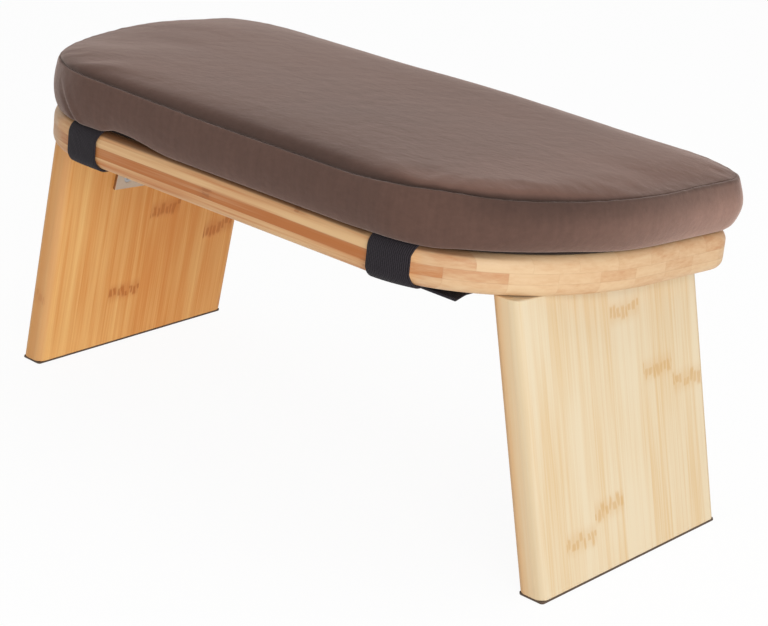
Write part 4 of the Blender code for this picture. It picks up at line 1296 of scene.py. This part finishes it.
def sweep_strap(name, centre, path):
    """A strap whose section points each follow path(x, distance from the wood)."""
    section = strap_section()
    middle = STRAP_GAP + STRAP_THICKNESS / 2
    tracks = np.array([path(centre + x, middle - height) for x, height in section])
    rings = tracks.transpose(1, 0, 2)
    steps = np.diff(rings[:, STRAP_POINTS // 2], axis=0)
    walked = np.concatenate([[0], np.cumsum(np.linalg.norm(steps, axis=1))])
    lay = [(x, length, height) for length in walked for x, height in section]
    flat_points = rings.reshape(-1, 3)
    faces = ring_faces(len(rings), len(section))
    piece = add_mesh(name, points_in(seat_place, flat_points), faces, lay, 60.0)
    piece.data.materials.append(webbing)
    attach(piece, "seat")
    return piece


for label, centre in STRAP_CENTRES.items():
    skew, droop = TAIL_SKEWS[label], TAIL_DROOPS[label]
    sweep_strap(
        f"{label}_rear_webbing", centre, lambda x, layer: rear_path(x, layer, centre)
    )
    sweep_strap(
        f"{label}_front_webbing", centre, lambda x, layer: front_path(x, layer, skew, droop)
    )
    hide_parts(f"{label}_strap_rear")
    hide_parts(f"{label}_strap_front")

# %% [markdown]
# The strap ends close with hook and loop tape, a square sewn on each. Both are woven tapes. On one
# stand rows of stiff little hooks, on the other soft loops, and the two meet in the thin gap between the
# straps. They are real geometry here, because at this size a few hundred bent stems cost little.

# %% Hook and loop tape
PATCH_SIZE, PATCH_CORNER = 0.024, 0.0012
STEM_SPACING, STEM_THICKNESS = 0.0016, 0.00011
# Heights of the sewn and the working face, the stems' rise and reach, and 1 where they close to loops.
LOOP_SIDE = (-0.0022, -0.0027, -0.00042, 0.0003, 1.0)
HOOK_SIDE = (-0.0041, -0.0036, 0.00042, 0.00022, 0.0)
PATCH_MIDDLE = REAR_STRAP_END - 0.015


def tape_points(centre_x, low, high):
    """A square of tape with slightly rounded corners, as two rings of points, and a ring's size."""
    section = rounded_section(-PATCH_SIZE / 2, PATCH_SIZE / 2, PATCH_SIZE / 2, PATCH_CORNER, 4)
    ring = np.array([(centre_x + p.x, PATCH_MIDDLE + p.y, 0.0) for p in section])
    return np.vstack([ring + (0, 0, low), ring + (0, 0, high)]), len(section)


def bent_stems(centre_x, root, rise, reach, close):
    """Rows of thin stems that bend over; close is 1 where a stem comes back down to the tape."""
    points, faces = [], []
    count = int(PATCH_SIZE / STEM_SPACING) - 1
    places = (np.arange(count) - (count - 1) / 2) * STEM_SPACING
    sweep = np.linspace(0.0, math.pi * (0.78 + 0.22 * close), 6)
    stem_back = math.copysign(STEM_THICKNESS, rise)
    stem_section = ((STEM_THICKNESS, 0.0), (0.0, stem_back), (-STEM_THICKNESS, 0.0))
    for row, y in enumerate(places):
        for x in places + (row % 2) * STEM_SPACING * 0.4:
            start = len(points)
            for angle in sweep:
                along, up_by = reach * (1 - math.cos(angle)), rise * math.sin(angle)
                for dx, dz in stem_section:
                    points.append((centre_x + x + dx, PATCH_MIDDLE + y + along, root + up_by + dz))
            for ring in range(len(sweep) - 1):
                low = start + 3 * ring
                for side in range(3):
                    after = (side + 1) % 3
                    faces.append((low + side, low + after, low + 3 + after, low + 3 + side))
            faces.append((start + 2, start + 1, start))
            faces.append(tuple(len(points) - 3 + side for side in range(3)))
    return points, faces


def closure_tape(name, node, centre_x, back, front, rise, reach, close):
    """A patch of tape from its sewn face to its working face, with stems on the working face."""
    flat, count = tape_points(centre_x, min(back, front), max(back, front))
    faces = ring_faces(2, count)
    stems, stem_faces = bent_stems(centre_x, front, rise, reach, close)
    faces += [tuple(len(flat) + index for index in face) for face in stem_faces]
    flat = np.vstack([flat, stems])
    piece = add_mesh(name, points_in(seat_place, flat), faces, flat, 50.0)
    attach(piece, "seat")
    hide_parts(node)
    return piece


tape = woven("closure_tape", colour(40, 38, 43), 0.0007, 0.0007, 0.0002, 0.2)
tapes = {}
for label, centre in STRAP_CENTRES.items():
    hook_x = centre + tail_shift(PATCH_MIDDLE, TAIL_SKEWS[label])
    tapes[f"{label}_loops"] = closure_tape(
        f"{label}_loop_tape", f"{label}_loop_patch", centre, *LOOP_SIDE
    )
    tapes[f"{label}_hooks"] = closure_tape(
        f"{label}_hook_tape", f"{label}_hook_patch", hook_x, *HOOK_SIDE
    )
for piece in tapes.values():
    piece.data.materials.append(tape)
print("tapes:", {name: len(piece.data.polygons) for name, piece in tapes.items()})

# %% [markdown]
# The tape is sewn to the long strap with a box of stitches and a cross in it, which shows from below. A
# stitch is a short thread that dips into the webbing at both ends: a ring of points, fat in its middle.
# A row of them along a path looks sewn from close by, where a drawn line would stay flat.

# %% Stitches on the straps
STITCH_LENGTH, STITCH_GAP, STITCH_RADIUS = 0.0024, 0.0007, 0.00028
STITCH_DIP, STITCH_PROUD, STITCH_INSET = 0.00025, 0.0001, 0.0015
STITCH_SHAPE = ((-0.5, 0.25), (-0.3, 0.9), (0.0, 1.0), (0.3, 0.9), (0.5, 0.25))
STITCH_SIDES = 6
stitch_faces = ring_faces(len(STITCH_SHAPE), STITCH_SIDES)


def stitch_row(start, end, points, faces):
    """Add stitches from one point to another, on a face that looks down."""
    start, end = Vector(start), Vector(end)
    way = (end - start).normalized()
    aside = way.cross(Vector((0.0, 0.0, 1.0)))
    count = max(1, int((end - start).length / (STITCH_LENGTH + STITCH_GAP)))
    for number in range(count):
        middle = start.lerp(end, (number + 0.5) / count)
        first = len(points)
        for share, fat in STITCH_SHAPE:
            dip = STITCH_DIP * (2 * share) ** 4
            for angle in np.radians(np.arange(0, 360, 360 // STITCH_SIDES)):
                across, down = math.cos(angle), 0.7 * math.sin(angle)
                spot = middle + STITCH_LENGTH * share * way + STITCH_RADIUS * fat * across * aside
                points.append(spot + Vector((0.0, 0.0, dip - STITCH_RADIUS * fat * down)))
        faces += [tuple(first + index for index in face) for face in stitch_faces]


def box_stitch(centre_x, depth, skew):
    """A sewn square with a cross in it, just inside the edge of the tape."""
    half = PATCH_SIZE / 2 - STITCH_INSET
    corners = []
    for x, y in ((-half, -half), (half, -half), (half, half), (-half, half)):
        spot_y = PATCH_MIDDLE + y
        corners.append((centre_x + x + tail_shift(spot_y, skew), spot_y, depth))
    points, faces = [], []
    for first, second in ((0, 1), (1, 2), (2, 3), (3, 0), (0, 2), (1, 3)):
        stitch_row(corners[first], corners[second], points, faces)
    return points, faces


thread, wiring, shader = new_finish("black_thread", 0.5, sheen_weight=0.1)
lay = lay_of(wiring)
thread_tone = wiring.place(
    tone_group, {"Place": lay, "Patch Size": 0.002, "Amount": 0.35, "Colour": colour(52, 50, 56)}
)
wiring.feed(shader.inputs["Base Color"], thread_tone["Colour"])
raise_surface(wiring, shader, wiring.noise(wiring.scaled(lay, (1.0, 1.0, 0.3)), 5200.0), 0.0001, 0.6)
for label, centre in STRAP_CENTRES.items():
    sewn_depth = -CLOSURE_DEPTH - STRAP_THICKNESS - STITCH_PROUD
    points, faces = box_stitch(centre, sewn_depth, TAIL_SKEWS[label])
    flat = np.array(points)
    stitches = add_mesh(f"{label}_strap_stitches", points_in(seat_place, flat), faces, flat, 60.0)
    stitches.data.materials.append(thread)
    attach(stitches, "seat")
    print(stitches.name, len(faces) // len(stitch_faces), "stitches")

# %% [markdown]
# Eight countersunk screws hold each hinge. The solids have plain round heads. Here each head gets the
# cross-shaped recess that a driver turns, sunk with sloping walls, and a rim that is just broken.
# One mesh is built and laid on each screw's place.

# %% Screws
HEAD_RADIUS, SHANK_RADIUS, SCREW_LENGTH = 0.0033, 0.0015, 0.016
HEAD_SIDES, HEAD_BREAK = 40, 0.00015
TIP_LENGTH, TIP_RADIUS = 0.004, 0.0004
RECESS_LEVELS = ((0.00042, 0.0018, 0.0), (0.00034, 0.0014, 0.0006), (0.00018, 0.0006, 0.0013))
LEAF_FACE = 0.0015
SCREW_SPOTS = ((-0.028, -0.035), (0.028, -0.035), (-0.013, -0.016), (0.013, -0.016))


def cross_outline(half_width, arm, depth):
    """The recess's outline at one depth: a plus of twelve corners."""
    outline = []
    for quarter in range(4):
        angle = quarter * math.pi / 2
        for far, near in ((arm, half_width), (half_width, half_width), (half_width, arm)):
            y = far * math.cos(angle) - near * math.sin(angle)
            z = far * math.sin(angle) + near * math.cos(angle)
            outline.append(Vector((depth, y, z)))
    return outline


def screw_body():
    """A countersunk wood screw along local X with a cross recess in its head."""
    bm = bmesh.new()
    angles = [2 * math.pi * side / HEAD_SIDES for side in range(HEAD_SIDES)]

    def ring(along, radius):
        return [bm.verts.new((along, radius * math.cos(a), radius * math.sin(a))) for a in angles]

    def skin(low, high):
        for index in range(len(low)):
            after = (index + 1) % len(low)
            bm.faces.new((low[index], low[after], high[after], high[index]))

    neck = HEAD_RADIUS - SHANK_RADIUS
    profile = (
        (0.0, HEAD_RADIUS - HEAD_BREAK), (HEAD_BREAK, HEAD_RADIUS), (neck, SHANK_RADIUS),
        (SCREW_LENGTH - TIP_LENGTH, SHANK_RADIUS), (SCREW_LENGTH, TIP_RADIUS),
    )
    rings = [ring(along, radius) for along, radius in profile]
    for low, high in zip(rings, rings[1:]):
        skin(low, high)
    bm.faces.new(rings[-1])
    recess = [[bm.verts.new(corner) for corner in cross_outline(*level)] for level in RECESS_LEVELS]
    for low, high in zip(recess, recess[1:]):
        skin(low, high)
    bm.faces.new(recess[-1])
    rim, mouth = (
        [bm.edges.get((line[i], line[(i + 1) % len(line)])) for i in range(len(line))]
        for line in (rings[0], recess[0])
    )
    bmesh.ops.triangle_fill(bm, edges=rim + mouth, use_beauty=True)
    bmesh.ops.recalc_face_normals(bm, faces=bm.faces)
    mesh = bpy.data.meshes.new("wood_screw")
    bm.to_mesh(mesh)
    bm.free()
    mesh.shade_smooth()
    mesh.set_sharp_from_angle(angle=math.radians(35))
    return mesh


screw = screw_body()
screws = []
for label, side in SIDES.items():
    on_leg = hinge_place(side) @ Matrix.Rotation(-LEG_SPLAY, 4, "Y")
    on_seat = hinge_place(side) @ Matrix.Rotation(math.pi / 2, 4, "Y") @ Matrix.Rotation(math.pi, 4, "Z")
    for part, place, body in (("leg", on_leg, f"{label}_leg"), ("seat", on_seat, "seat")):
        for number, (along, down) in enumerate(SCREW_SPOTS, 1):
            turn = Matrix.Rotation(0.9 * number + side, 4, "X")
            piece = bpy.data.objects.new(f"{label}_{part}_cross_screw_{number}", screw.copy())
            bpy.context.scene.collection.objects.link(piece)
            piece.data.transform(place @ Matrix.Translation((LEAF_FACE, along, down)) @ turn)
            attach(piece, body)
            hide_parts(f"{label}_{part}_screw_{number}")
            screws.append(piece)
print(len(screws), "screws of", len(screw.polygons), "faces")

# %% [markdown]
# Hinges and screws are zinc plated: a grey with a faint cloudy bloom, rolled lines along the leaf and
# small dull spots. The leaves and pins are painted a little warm, as painted reflection of the bamboo
# round them. The leaves and pins keep their imported shape, so the finish reads the object's own
# coordinates there instead of a lay. Rubber feet are matt, dusty and slightly pitted.

# %% Zinc and rubber
def zinc_plate(name, plate_colour, line_way):
    """A zinc finish of one colour, with rolled lines squeezed by line_way."""
    material, wiring, shader = new_finish(name, 0.36, metallic=1.0)
    place = wiring.node("ShaderNodeTexCoord").outputs["Object"]
    bloom = wiring.place(
        tone_group, {"Place": place, "Patch Size": 0.009, "Amount": 0.16, "Colour": plate_colour}
    )
    rolled = wiring.noise(wiring.scaled(place, line_way), 1900.0, 2.0)
    spots = wiring.step(wiring.noise(place, 900.0, 1.0), 0.68, 0.78)
    dull = colour(128, 126, 130)
    spotted = wiring.tint(wiring.math("MULTIPLY", spots, 0.5), bloom["Colour"], dull)
    wiring.feed(shader.inputs["Base Color"], spotted)
    rough = wiring.math("MULTIPLY_ADD", bloom["Patch"], 0.22, 0.24)
    wiring.feed(shader.inputs["Roughness"], wiring.math("MULTIPLY_ADD", spots, 0.25, rough))
    raise_surface(wiring, shader, rolled, 0.00004, 0.5)
    return material


# The leaves' warm tint is painted reflection of the bamboo round them.
warm_reflection_zinc = zinc_plate("zinc_leaf_painted_warmth", colour(182, 160, 140), (1.0, 0.04, 1.0))
screw_zinc = zinc_plate("zinc_screw", colour(168, 165, 164), (1.0, 1.0, 1.0))
for piece in screws:
    piece.data.materials.append(screw_zinc)
for label in SIDES:
    for node in (f"{label}_seat_leaf", f"{label}_leg_leaf", f"{label}_hinge_pin"):
        frame["nodes"][node].material_slots[0].material = warm_reflection_zinc

rubber, wiring, shader = new_finish("foot_rubber_matt", 0.8)
lay = lay_of(wiring)
DARK_RUBBER = colour(84, 67, 53)
dust = wiring.place(tone_group, {"Place": lay, "Patch Size": 0.007, "Amount": 0.3, "Colour": DARK_RUBBER})
pits = wiring.noise(lay, 1400.0, 2.0, 0.6)
wiring.feed(shader.inputs["Base Color"], dust["Colour"])
wiring.feed(shader.inputs["Roughness"], wiring.math("MULTIPLY_ADD", dust["Patch"], 0.25, 0.65))
raise_surface(wiring, shader, pits, 0.0002, 0.6)
for pad in pads.values():
    pad.data.materials.append(rubber)
print("finishes:", warm_reflection_zinc.name, screw_zinc.name, rubber.name)
